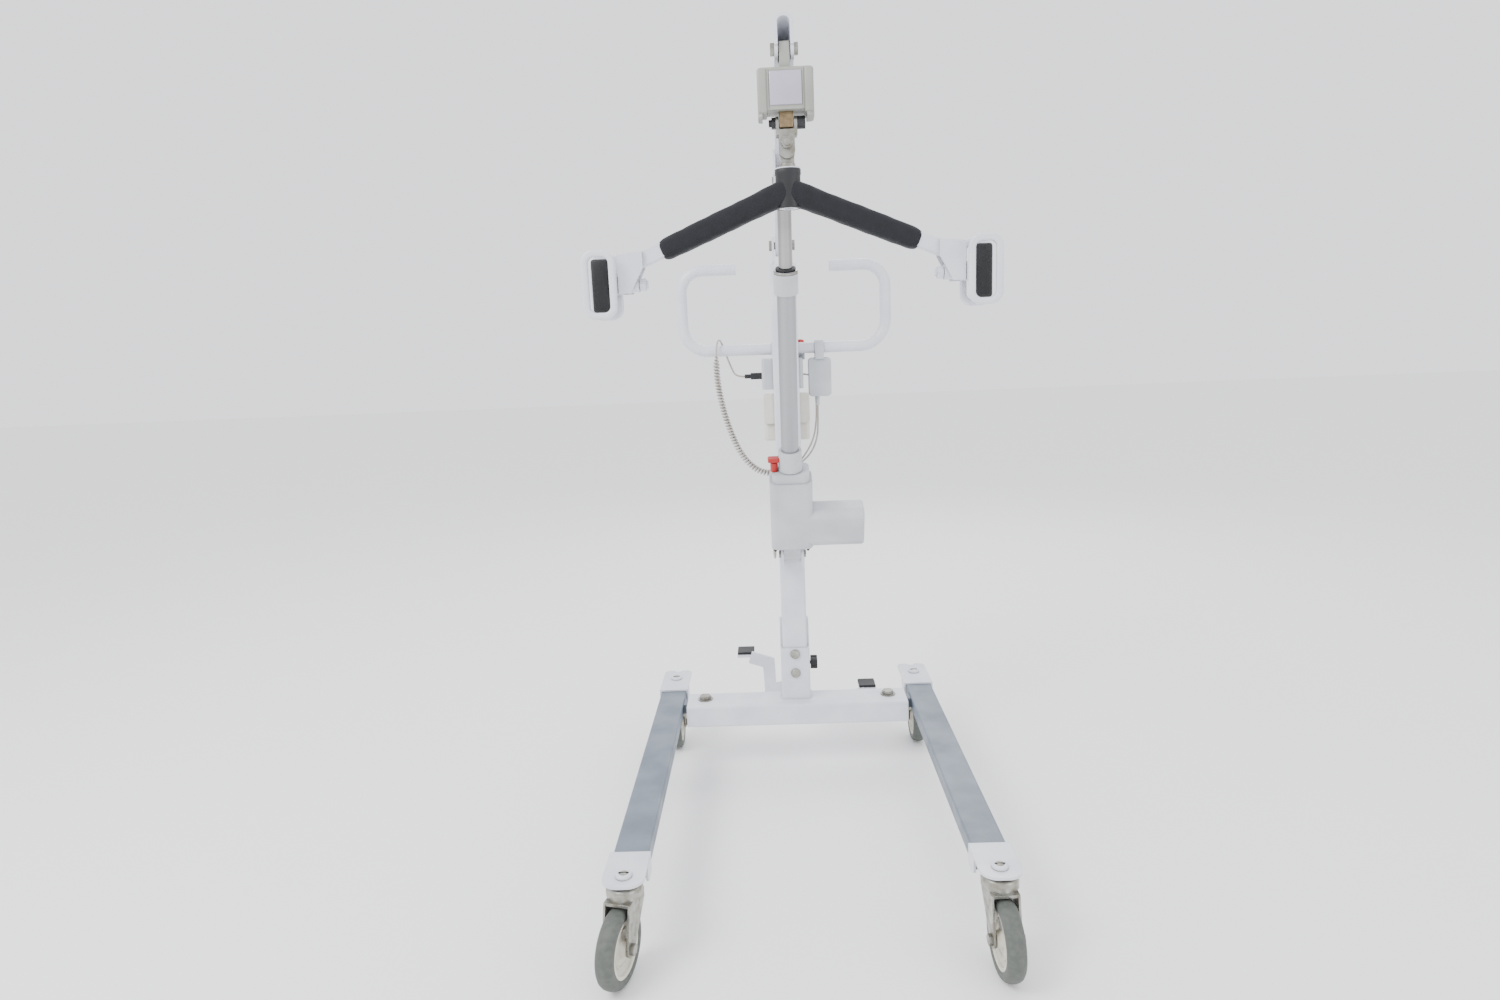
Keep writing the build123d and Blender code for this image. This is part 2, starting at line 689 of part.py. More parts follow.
# ---------------------------------------------------------------- boom
boom_plane = Plane(
    origin=(0, mast_y, boom_pivot_z),
    x_dir=(0, -cos(boom_slope), sin(boom_slope)),
    z_dir=(-1, 0, 0),
)
rod_pin_radius = 6.0
rod_pin_vector = Vector(0, rod_pin_y - mast_y, rod_pin_z - boom_pivot_z)
rod_pin_along = rod_pin_vector.dot(boom_plane.x_dir)
rod_pin_below = rod_pin_vector.dot(boom_plane.y_dir)
tube_end = boom_length - 27
tip_end = boom_length + 16
tip_cheek = 5.0
tip_ear_radius = 14.0
slot_half = rod_pin_radius + slot_play
ear_drop = 16.0               # bracket ears below the rod's pin
boss_radius = boom_height / 2 - 3


def boom_side(lateral):
    """The boom's side plane at a distance left of its middle; local X runs to the tip."""
    return Plane(
        origin=(-lateral, mast_y, boom_pivot_z),
        x_dir=boom_plane.x_dir,
        z_dir=(-1, 0, 0),
    )


with BuildPart() as boom:
    half = boom_width / 2
    with BuildSketch(boom_side(-half)):
        Circle(boss_radius)
        with Locations((tube_end / 2, 0)):
            Rectangle(tube_end, boom_height)
    extrude(amount=boom_width)
    with BuildSketch(boom_side(-half + boom_wall)):
        with Locations(((tube_end + 40) / 2, 0)):
            Rectangle(tube_end - 40, boom_height - 2 * boom_wall)
    extrude(amount=boom_width - 2 * boom_wall, mode=Mode.SUBTRACT)
    # forked tip: an arched channel, open below and in front
    tip_plane = Plane(
        origin=boom_plane.from_local_coords(Vector(tube_end - 10, 0, 0)),
        x_dir=(1, 0, 0),
        z_dir=boom_plane.x_dir,
    )
    with BuildSketch(tip_plane):
        with Locations((0, boom_height / 2 - half)):
            Circle(half)
        with Locations((0, -half / 2)):
            Rectangle(boom_width, boom_height - half)
        with Locations((0, boom_height / 2 - half)):
            Circle(half - tip_cheek, mode=Mode.SUBTRACT)
        with Locations((0, -half / 2)):
            Rectangle(boom_width - 2 * tip_cheek, boom_height - half, mode=Mode.SUBTRACT)
    extrude(amount=tip_end - tube_end + 10)
    for side in (-1, 1):
        with BuildSketch(boom_side(side * half)):
            with Locations((boom_length, -tip_drop)):
                Circle(tip_ear_radius)
                with Locations((0, tip_ear_radius)):
                    Rectangle(2 * tip_ear_radius, 2 * tip_ear_radius)
        extrude(amount=-side * tip_cheek)
    # ears under the boom that carry the actuator rod's pin in a slot
    for side in (-1, 1):
        with BuildSketch(boom_side(side * half)):
            ear_low = rod_pin_below - ear_drop
            ear_high = -boom_height / 2 + 8
            with Locations((rod_pin_along + slot_travel / 2, (ear_low + ear_high) / 2)):
                Rectangle(slot_travel + 52, ear_high - ear_low)
            with Locations((rod_pin_along + slot_travel / 2, rod_pin_below)):
                SlotOverall(slot_travel + 2 * slot_half + 1, 2 * slot_half, mode=Mode.SUBTRACT)
        extrude(amount=side * 4)
    with BuildSketch(boom_side(-half)):
        Circle(boom_bolt_radius + running)
        with Locations((boom_length, -tip_drop)):
            Circle(6 + loose)
    extrude(amount=boom_width, mode=Mode.SUBTRACT)
save(boom, "boom")

tip_bolt_radius = 6.0
with BuildPart() as boom_tip_bolt:
    with BuildSketch(facing_side(-boom_width / 2, tip_y, tip_z)):
        Circle(tip_bolt_radius)
    extrude(amount=boom_width)
    for side in (-1, 1):
        with BuildSketch(facing_side(side * boom_width / 2, tip_y, tip_z)):
            RegularPolygon(9, 6)
        extrude(amount=side * 6)
save(boom_tip_bolt, "boom_tip_bolt")

# ---------------------------------------------------------------- actuator
tilt = Vector(0, rod_pin_y - foot_y, rod_pin_z - foot_z)
actuator_length = tilt.length
actuator_axis = tilt.normalized()
actuator_foot_radius = 6.0


def actuator_level(along, x=0.0, forward=0.0):
    """A plane square to the actuator, at a distance from its foot; local X is right."""
    start = Vector(x, foot_y, foot_z) + actuator_axis * along
    square = Plane(origin=start, x_dir=(1, 0, 0), z_dir=actuator_axis)
    return Plane(
        origin=square.from_local_coords(Vector(0, -forward, 0)),
        x_dir=(1, 0, 0),
        z_dir=actuator_axis,
    )


bracket_inside = 38.0
bracket_cheek = 6.0
with BuildPart() as actuator_bracket:
    with BuildSketch(facing_front(0, mast_y - half_mast, foot_z - 2)):
        RectangleRounded(bracket_inside + 2 * bracket_cheek, 60, 3)
    extrude(amount=6)
    for side in (-1, 1):
        with BuildSketch(facing_side(side * bracket_inside / 2, foot_y, foot_z)):
            Circle(14)
            with Locations(((foot_forward - half_mast) / 2, -2)):
                Rectangle(foot_forward - half_mast, 56)
            make_hull()
            Circle(actuator_foot_radius + loose, mode=Mode.SUBTRACT)
        extrude(amount=side * bracket_cheek)
save(actuator_bracket, "actuator_bracket")

with BuildPart() as actuator_foot_bolt:
    foot_half = bracket_inside / 2 + bracket_cheek
    with BuildSketch(facing_side(-foot_half, foot_y, foot_z)):
        Circle(actuator_foot_radius)
    extrude(amount=2 * foot_half)
    for side in (-1, 1):
        with BuildSketch(facing_side(side * foot_half, foot_y, foot_z)):
            RegularPolygon(9, 6)
        extrude(amount=side * 5)
save(actuator_foot_bolt, "actuator_foot_bolt")

housing_low, housing_high = 32.0, 212.0
housing_half = 45.0
housing_depth = 66.0
motor_low, motor_high = 32.0, 122.0
motor_end = 155.0
plug_radius = 5.5
lead_radius = 2.5
plug_x = -12.0
with BuildPart() as actuator_housing:
    with BuildSketch(actuator_level(housing_low)):
        RectangleRounded(2 * housing_half, housing_depth, 14)
    extrude(amount=housing_high - housing_low - 20)
    with BuildSketch(actuator_level(housing_high - 20)):
        RectangleRounded(2 * housing_half - 12, housing_depth - 8, 14)
    extrude(amount=20)
    motor_mid = (motor_low + motor_high) / 2
    motor_plane = Plane(
        origin=actuator_level(motor_mid, housing_half - 20).origin,
        x_dir=actuator_level(motor_mid).y_dir,
        z_dir=(1, 0, 0),
    )
    with BuildSketch(motor_plane):
        RectangleRounded(housing_depth, motor_high - motor_low, 20)
    extrude(amount=motor_end - housing_half + 20)
    fillet(actuator_housing.faces().sort_by(Axis.X)[-1].edges(), 6)
    # foot lug between the bracket's cheeks
    with BuildSketch(facing_side(-bracket_inside / 2 + gap, foot_y, foot_z)):
        Circle(14)
    extrude(amount=bracket_inside - 2 * gap)
    with BuildSketch(actuator_level(0)):
        Rectangle(bracket_inside - 2 * gap, 26)
    extrude(amount=housing_low + 4)
    with BuildSketch(facing_side(-bracket_inside / 2, foot_y, foot_z)):
        Circle(actuator_foot_radius + running)
    extrude(amount=bracket_inside, mode=Mode.SUBTRACT)
    # sockets for two plugs under the housing, and the spindle's well
    with BuildSketch(actuator_level(housing_high - 60)):
        Circle(rod_radius + 2)
    extrude(amount=60, mode=Mode.SUBTRACT)
save(actuator_housing, "actuator_housing")

collar_low, collar_high = 592.0, 634.0
foot_collar_high = 232.0
collar_radius = 22.0
with BuildPart() as actuator_tube:
    with BuildSketch(actuator_level(housing_high)):
        Circle(tube_radius + 6)
    extrude(amount=foot_collar_high - housing_high)
    with BuildSketch(actuator_level(foot_collar_high)):
        Circle(tube_radius)
    extrude(amount=collar_low - foot_collar_high)
    with BuildSketch(actuator_level(collar_low)):
        Circle(collar_radius)
    extrude(amount=collar_high - collar_low)
    with BuildSketch(actuator_level(housing_high)):
        Circle(rod_radius + running)
    extrude(amount=collar_high - housing_high, mode=Mode.SUBTRACT)
save(actuator_tube, "actuator_tube")

rod_start = housing_high - 60 + 145
eye_half = boom_width / 2 - gap
with BuildPart() as actuator_rod:
    with BuildSketch(actuator_level(rod_start)):
        Circle(rod_radius)
    extrude(amount=actuator_length - 8 - rod_start)
    with BuildSketch(facing_side(-eye_half + 1, rod_pin_y, rod_pin_z)):
        Circle(13)
    extrude(amount=2 * eye_half - 2)
    with BuildSketch(facing_side(-eye_half - 7, rod_pin_y, rod_pin_z)):
        Circle(rod_pin_radius)
    extrude(amount=2 * eye_half + 14)
save(actuator_rod, "actuator_rod")

lever_x = -34.0
lever_along = housing_high + 1
with BuildPart() as emergency_lever:
    with BuildSketch(actuator_level(housing_high + gap, lever_x, 4)):
        Circle(8)
    extrude(amount=20)
    with BuildSketch(actuator_level(housing_high + 22, lever_x, 4)):
        RectangleRounded(26, 14, 5)
    extrude(amount=9)
    with BuildSketch(actuator_level(housing_high + 18, lever_x, 4)):
        Circle(4)
    extrude(amount=8)
save(emergency_lever, "emergency_lever")

# ---------------------------------------------------------------- weighing scale
scale_width = 81.0
scale_depth = 42.0
scale_high = tip_z - 28
scale_low = lower_pin_z + 5
scale_notch_width = 64.0
scale_notch_height = 9.0
upper_lug = 7.5
lower_lug = 10.5
lower_bolt_radius = 5.0
with BuildPart() as scale_housing:
    with BuildSketch(level(scale_low, 0, tip_y)):
        RectangleRounded(scale_width, scale_depth, 7)
    extrude(amount=scale_high - scale_low)
    fillet(scale_housing.faces().sort_by(Axis.Z)[-1].edges(), 4)
    with BuildSketch(level(scale_low, -2, tip_y)):
        Rectangle(scale_notch_width, scale_depth)
    extrude(amount=scale_notch_height, mode=Mode.SUBTRACT)
    with BuildSketch(facing_side(-upper_lug, tip_y, tip_z)):
        Circle(11)
        with Locations((0, (scale_high - tip_z) / 2 - 2)):
            Rectangle(22, tip_z - scale_high + 4)
    extrude(amount=2 * upper_lug)
    with BuildSketch(facing_side(-lower_lug, tip_y, lower_pin_z)):
        Circle(9)
        with Locations((0, (scale_low + scale_notch_height - lower_pin_z) / 2 + 1)):
            Rectangle(18, scale_low + scale_notch_height - lower_pin_z + 2)
    extrude(amount=2 * lower_lug)
    with BuildSketch(facing_side(-upper_lug, tip_y, tip_z)):
        Circle(tip_bolt_radius + running)
    extrude(amount=2 * upper_lug, mode=Mode.SUBTRACT)
    with BuildSketch(facing_side(-lower_lug, tip_y, lower_pin_z)):
        Circle(lower_bolt_radius + running)
    extrude(amount=2 * lower_lug, mode=Mode.SUBTRACT)
save(scale_housing, "scale_housing")

# ---------------------------------------------------------------- clevis and swivel stem
clevis_wall = 4.5
clevis_inner = lower_lug + gap
tilt_bolt_radius = 5.0
stem_half_depth = 9.0
clevis_floor = lower_pin_z - 10 - 2 * gap
clevis_low = tilt_bolt_z - 10
with BuildPart() as swivel_clevis:
    with BuildSketch(level(clevis_floor - 7, 0, tip_y)):
        Rectangle(2 * (clevis_inner + clevis_wall), 2 * (stem_half_depth + gap + clevis_wall))
    extrude(amount=7)
    for side in (-1, 1):
        with BuildSketch(facing_side(side * clevis_inner, tip_y, lower_pin_z)):
            Circle(9)
            with Locations((0, (clevis_floor - lower_pin_z) / 2)):
                Rectangle(18, lower_pin_z - clevis_floor)
            Circle(lower_bolt_radius + loose, mode=Mode.SUBTRACT)
        extrude(amount=side * clevis_wall)
        with BuildSketch(facing_front(0, tip_y + side * (stem_half_depth + gap), clevis_low)):
            Circle(11.5)
            with Locations((0, (clevis_floor - clevis_low - 4) / 2)):
                Rectangle(23, clevis_floor - clevis_low - 4)
        extrude(amount=-side * clevis_wall)
    with BuildSketch(facing_front(0, tip_y + 22, tilt_bolt_z)):
        Circle(tilt_bolt_radius)
    extrude(amount=44)
    with BuildSketch(facing_front(0, tip_y - stem_half_depth - gap - clevis_wall, tilt_bolt_z)):
        RegularPolygon(9, 6)
    extrude(amount=6)
save(swivel_clevis, "swivel_clevis")

with BuildPart() as scale_lower_bolt:
    clevis_half = clevis_inner + clevis_wall
    with BuildSketch(facing_side(-clevis_half - 10, tip_y, lower_pin_z)):
        Circle(lower_bolt_radius)
    extrude(amount=2 * clevis_half + 16)
    with BuildSketch(facing_side(-clevis_half, tip_y, lower_pin_z)):
        RegularPolygon(8.5, 6)
    extrude(amount=-6)
    with BuildSketch(facing_side(clevis_half, tip_y, lower_pin_z)):
        Circle(9)
    extrude(amount=12)
save(scale_lower_bolt, "scale_lower_bolt")

stem_radius = 7.0
hub_bottom = hub_top - hub_height
with BuildPart() as swivel_stem:
    with BuildSketch(facing_front(0, tip_y + stem_half_depth, tilt_bolt_z)):
        Circle(10)
        with Locations((0, (hub_top + 5 - tilt_bolt_z) / 2)):
            Rectangle(20, tilt_bolt_z - hub_top - 5)
    extrude(amount=2 * stem_half_depth)
    with BuildSketch(level(hub_top + gap, 0, tip_y)):
        Circle(12)
    extrude(amount=5)
    with BuildSketch(level(hub_bottom + 12, 0, tip_y)):
        Circle(stem_radius)
    extrude(amount=hub_height - 8)
    with BuildSketch(level(hub_bottom + 4, 0, tip_y)):
        Circle(10)
    extrude(amount=8)
    with BuildSketch(facing_front(0, tip_y + stem_half_depth, tilt_bolt_z)):
        Circle(tilt_bolt_radius + running)
    extrude(amount=2 * stem_half_depth, mode=Mode.SUBTRACT)
save(swivel_stem, "swivel_stem")

# ---------------------------------------------------------------- spreader bar and pads
fall = radians(arm_fall)
arm_root_z = hub_top - 30     # height where the two arms' centre lines meet
hanger_outer = 257.0
hanger_wall = 5.0
hanger_half_depth = 20.0
hook_bolt_radius = 6.0


def arm_side(side, lateral=0.0):
    """An arm's own plane: local X runs outwards down the arm, local Y is square to it."""
    return Plane(
        origin=(0, tip_y + lateral, arm_root_z),
        x_dir=(side * cos(fall), 0, -sin(fall)),
        z_dir=(0, -side, 0),
    )


arm_run = arm_reach / cos(fall)
with BuildPart() as spreader_bar:
    with BuildSketch(level(hub_bottom, 0, tip_y)):
        Circle(hub_radius)
    extrude(amount=hub_height)
    with BuildSketch(level(hub_top - 9, 0, tip_y)):
        Circle(hub_radius + 5)
    extrude(amount=9)
    for side in (-1, 1):
        with BuildSketch(arm_side(side)):
            with Locations((arm_run / 2, 0)):
                Rectangle(arm_run, arm_height)
        extrude(amount=arm_depth / 2, both=True)
        # end hanger: two side plates, an inner and an outer web, and the hook's bolt
        arm_end_z = arm_root_z - arm_reach * tan(fall)
        for face in (-1, 1):
            with BuildSketch(facing_front(0, tip_y + face * arm_depth / 2, 0)):
                with BuildLine():
                    Polyline(
                        (side * (arm_reach - 12), arm_end_z + 16),
                        (side * hanger_outer, arm_end_z + 12),
                        (side * hanger_outer, hook_bolt_z - 13),
                        (side * (arm_reach + 8), hook_bolt_z - 13),
                        (side * (arm_reach - 12), arm_end_z - 8),
                        close=True,
                    )
                make_face()
            extrude(amount=-face * hanger_wall)
        with BuildSketch(facing_side(side * (hanger_outer - hanger_wall), tip_y, 0)):
            with Locations((0, (arm_end_z + 12 + hook_bolt_z - 13) / 2)):
                Rectangle(arm_depth + 2 * hanger_wall, arm_end_z - hook_bolt_z + 25)
        extrude(amount=side * hanger_wall)
        with BuildSketch(facing_side(side * (arm_reach - 17), tip_y, hook_bolt_z)):
            Circle(hook_bolt_radius)
        extrude(amount=side * (hanger_outer + 16 - arm_reach + 17))
        with BuildSketch(facing_side(side * (arm_reach - 14), tip_y, hook_bolt_z)):
            RegularPolygon(10, 6)
        extrude(amount=side * 9)
        with BuildSketch(facing_side(side * (arm_reach - 4), tip_y, hook_bolt_z)):
            Circle(11)
        extrude(amount=side * (hanger_outer - arm_reach))
    with BuildSketch(level(hub_bottom + 3, 0, tip_y)):
        Circle(11)
    extrude(amount=9 + running, mode=Mode.SUBTRACT)
    with BuildSketch(level(hub_bottom, 0, tip_y)):
        Circle(stem_radius + running)
    extrude(amount=hub_height, mode=Mode.SUBTRACT)
save(spreader_bar, "spreader_bar")

pad_run = pad_reach / cos(fall)
pad_clearance = 0.4
with BuildPart() as spreader_pad:
    for side in (-1, 1):
        with BuildSketch(arm_side(side)):
            with Locations(((pad_run + 24) / 2, -1)):
                Rectangle(pad_run - 24, pad_height)
        extrude(amount=pad_height / 2, both=True)
    fillet(spreader_pad.edges(), 6)
    for side in (-1, 1):
        with BuildSketch(arm_side(side)):
            with Locations((arm_run / 2, 0)):
                Rectangle(arm_run, arm_height + 2 * pad_clearance)
        extrude(amount=arm_depth / 2 + pad_clearance, both=True, mode=Mode.SUBTRACT)
    with BuildSketch(level(hub_bottom - 20, 0, tip_y)):
        Circle(hub_radius + 5.5)
    extrude(amount=hub_height + 40, mode=Mode.SUBTRACT)
save(spreader_pad, "spreader_pad")

# ---------------------------------------------------------------- hook frames
hook_inner_x = hanger_outer + gap


def hook_frame(side):
    """A yoke on the hook bolt that carries two closed bar loops for sling straps."""
    yoke_thickness = 8.0
    middle_x = hook_inner_x + hook_width / 2
    with BuildPart() as hook:
        for face in (-1, 1):
            with BuildSketch(facing_front(side * middle_x, tip_y + face * hook_spread, hook_bolt_z)):
                RectangleRounded(hook_width, hook_height, 18)
                RectangleRounded(hook_width - 2 * hook_bar, hook_height - 2 * hook_bar, 9, mode=Mode.SUBTRACT)
            extrude(amount=hook_bar / 2, both=True)
        fillet(hook.edges(), 3.5)
        with BuildSketch(facing_side(side * (hook_inner_x + 0.5), tip_y, hook_bolt_z)):
            Rectangle(2 * hook_spread, 26)
        extrude(amount=side * yoke_thickness)
        with BuildSketch(facing_side(side * hook_inner_x, tip_y, hook_bolt_z)):
            Circle(hook_bolt_radius + running)
        extrude(amount=side * 20, mode=Mode.SUBTRACT)
    return hook


for side, hand in ((-1, "left"), (1, "right")):
    save(hook_frame(side), f"hook_{hand}")

# ---------------------------------------------------------------- handset
handset_x = 78.0
handset_half = 26.0
handset_high, handset_low = 946.0, 858.0
handset_thickness = 22.0
hanger_clearance = 0.6
hanger_skin = 3.5
clip_foot = 7.0
button_radius = 7.0
button_travel = 1.5
button_well = 6.0
button_heights = (925.0, 900.0)
gland_low = 838.0
with BuildPart() as handset:
    with BuildSketch(facing_front(handset_x, handle_y + handset_thickness / 2, (handset_high + handset_low) / 2)):
        RectangleRounded(2 * handset_half, handset_high - handset_low, 9)
    extrude(amount=handset_thickness)
    fillet(handset.edges().filter_by(Axis.Y, reverse=True), 3)
    hook_inner = handle_radius + hanger_clearance
    clip_front = hook_inner + hanger_skin
    handset_back = handset_thickness / 2
    # the clip's front leg stands on the handset, and its back leg ends free, so that it can spring
    with BuildSketch(facing_side(handset_x - 10, handle_y, handle_low_z)):
        Circle(hook_inner + hanger_skin)
        with Locations((0, -13)):
            Rectangle(2 * (hook_inner + hanger_skin), 26)
        Circle(hook_inner, mode=Mode.SUBTRACT)
        with Locations((0, -14)):
            Rectangle(2 * hook_inner, 28, mode=Mode.SUBTRACT)
        with Locations(((handset_back - clip_front) / 2, handset_high - handle_low_z)):
            Rectangle(clip_front + handset_back, clip_foot)
    extrude(amount=20)
    with BuildSketch(level(gland_low, handset_x - 6, handle_y)):
        Circle(4.5)
    extrude(amount=handset_low - gland_low + 2)
    for height in button_heights:
        with BuildSketch(facing_front(handset_x, handle_y + handset_thickness / 2, height)):
            Circle(button_radius + running)
        extrude(amount=button_well, mode=Mode.SUBTRACT)
save(handset, "handset")

for name, height in zip(("up", "down"), button_heights):
    with BuildPart() as button:
        button_foot = handle_y + handset_thickness / 2 - button_well + button_travel + gap
        with BuildSketch(facing_front(handset_x, button_foot, height)):
            Circle(button_radius)
        extrude(amount=-button_well)
        fillet(button.faces().sort_by(Axis.Y)[-1].edges(), 1)
    save(button, f"handset_{name}_button")

# ---------------------------------------------------------------- cords
lead_diameter = 5.0
curl_diameter = 15.0
cord_end_gap = 1.0            # a cord's end to a piece that swings away from it


def smooth_radii(points):
    """The largest arc that fits at each corner of a route."""
    radii = []
    for before, corner, after in zip(points, points[1:], points[2:]):
        first = Vector(*corner) - Vector(*before)
        second = Vector(*after) - Vector(*corner)
        shorter = min(first.length, second.length)
        half_turn = radians(first.get_angle(second)) / 2
        radii.append(0.45 * shorter / tan(half_turn))
    return radii


def cord_tube(points, diameter):
    """A round tube along straight runs joined by tangent arcs."""
    radii = smooth_radii(points)
    print("radii", " ".join(f"{radius:.0f}" for radius in radii))
    start = Vector(*points[0])
    direction = Vector(*points[1]) - start
    with BuildPart() as tube:
        with BuildLine() as line:
            FilletPolyline(*points, radius=radii)
        with BuildSketch(Plane(origin=start, z_dir=direction)):
            Circle(diameter / 2)
        sweep(path=line.wires()[0])
    length = line.wires()[0].length
    expected = length * 3.14159265 * diameter**2 / 4
    print(f"length {length:.0f}  volume ratio {tube.part.volume / expected:.3f}")
    return tube


# handset's tail: from the gland down beside the battery, then behind the mast
tail_route = [
    (72, handle_y, gland_low - cord_end_gap), (72, handle_y, 800), (69, handle_y - 3, 762), (55, handle_y - 5, 729),
    (28, handle_y - 3.3, 702.9), (-4, handle_y - 6, 693),
]
curl_route = [
    (-4, handle_y - 6, 693), (-40, handle_y - 9, 682), (-76, handle_y - 12, 694), (-106, handle_y - 15, 727),
    (-127, handle_y - 18, 774), (-142, handle_y - 20, 824), (-152, handle_y - 21, 874), (-157, handle_y - 22, 922),
    (-155, handle_y - 22, 962),
]
over_route = [
    (-155, handle_y - 22, 962), (-154, handle_y - 22, 982), (-149, handle_y - 2, 997), (-142, handle_y + 18, 982),
    (-134, handle_y + 22, 956), (-125, handle_y + 24, 931), (-115, handle_y + 25, 908), (-94, handle_y + 25, 908),
]
with BuildPart() as leads:
    add(cord_tube(tail_route, lead_diameter).part)
    add(cord_tube(over_route, lead_diameter).part)
save(leads, "handset_cord_leads")
save(cord_tube(curl_route, curl_diameter), "handset_cord_curl")

with BuildPart() as cord_plug:
    with BuildSketch(facing_side(-94, handle_y + 25, 908)):
        Circle(5)
    extrude(amount=14)
    with BuildSketch(facing_side(-80, handle_y + 25, 908)):
        RectangleRounded(13, 15, 3)
    extrude(amount=80 + box_left)
save(cord_plug, "handset_cord_plug")

lead_side = -37.0
lead_start = actuator_level(housing_low - cord_end_gap, lead_side).origin
lead_bend = actuator_level(housing_low - 22, lead_side).origin
actuator_route = [
    tuple(lead_start), tuple(lead_bend),
    (-38, foot_y + 18, 506), (-40, foot_y + 52, 503),
    (-41, foot_y + 86, 522), (-41, foot_y + 112, 560), (-35, foot_y + 128, 608),
    (-18, foot_y + 132, 654), (10, foot_y + 134, 690), (40, foot_y + 140, 722), (62, foot_y + 152, 758),
    (70, foot_y + 166, 802), (71, foot_y + 176, 844), (68, foot_y + 171, 884), (60, foot_y + 166, 908),
    (40, foot_y + 166, 908),
]
save(cord_tube(actuator_route, lead_diameter), "actuator_lead")
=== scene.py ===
"""Finish a mobile patient lift: foam sleeves, casters, cords, small fittings and paint.

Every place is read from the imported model, in metres; +Z is up and -Y is the open end.
"""
import json
from math import atan2, cos, pi, radians, sin

import bmesh
import bpy
from mathutils import Matrix, Vector


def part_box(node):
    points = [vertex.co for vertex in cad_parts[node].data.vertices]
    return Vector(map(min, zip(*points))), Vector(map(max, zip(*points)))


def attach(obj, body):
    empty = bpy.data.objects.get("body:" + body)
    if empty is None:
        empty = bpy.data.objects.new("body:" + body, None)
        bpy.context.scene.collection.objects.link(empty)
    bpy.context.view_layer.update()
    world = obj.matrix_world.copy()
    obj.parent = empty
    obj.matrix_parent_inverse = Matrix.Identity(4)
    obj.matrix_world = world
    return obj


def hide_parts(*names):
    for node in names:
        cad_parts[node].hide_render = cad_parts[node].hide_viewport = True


bl_info = {
    "name": "Patient Lift",
    "version": (1, 0, 0),
    "blender": (4, 5, 0),
    "location": "View3D > Sidebar > Patient Lift",
    "description": "Foam, casters, cords, small fittings and finishes of a patient lift",
    "category": "Add Mesh",
}

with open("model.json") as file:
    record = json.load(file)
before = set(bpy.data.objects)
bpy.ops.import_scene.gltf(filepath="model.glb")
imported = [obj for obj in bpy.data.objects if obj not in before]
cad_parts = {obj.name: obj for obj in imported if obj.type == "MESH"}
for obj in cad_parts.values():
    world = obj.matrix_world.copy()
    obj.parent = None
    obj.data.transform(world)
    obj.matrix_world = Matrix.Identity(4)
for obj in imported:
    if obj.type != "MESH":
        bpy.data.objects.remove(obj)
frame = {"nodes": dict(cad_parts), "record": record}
MM = 0.001
JOINTS = {joint["name"]: joint for joint in frame["record"]["behaviour"]["joints"]}
ARM_FALL = 22.5               # slope of the spreader's arms, degrees
HANDLE_Y = JOINTS["handset_swing"]["pos_m"][1]
FOOT_Y = JOINTS["actuator_tilt"]["pos_m"][1]
ACTUATOR_FOOT = Vector(JOINTS["actuator_tilt"]["pos_m"])
ACTUATOR_AXIS = Vector(JOINTS["rod_extend"]["axis"]).normalized()
SCALE_PIN = Vector(JOINTS["clevis_swing"]["pos_m"])
# the colour sockets of a mix node, which share their names with its number sockets
MIX_FIRST, MIX_SECOND, MIX_RESULT = 6, 7, 2


# ---------------------------------------------------------------- materials

def linear(code):
    """Turn a six-digit sRGB hex colour into linear RGBA."""
    channels = []
    for start in (0, 2, 4):
        value = int(code[start:start + 2], 16) / 255
        channels.append(value / 12.92 if value <= 0.04045 else ((value + 0.055) / 1.055) ** 2.4)
    return (*channels, 1.0)


def add_node(tree, kind, inputs=None, **settings):
    """Add a node, set its properties, and set or link its inputs."""
    node = tree.nodes.new(kind)
    for name, value in settings.items():
        setattr(node, name, value)
    for name, value in (inputs or {}).items():
        if isinstance(value, bpy.types.NodeSocket):
            tree.links.new(value, node.inputs[name])
        else:
            node.inputs[name].default_value = value
    return node


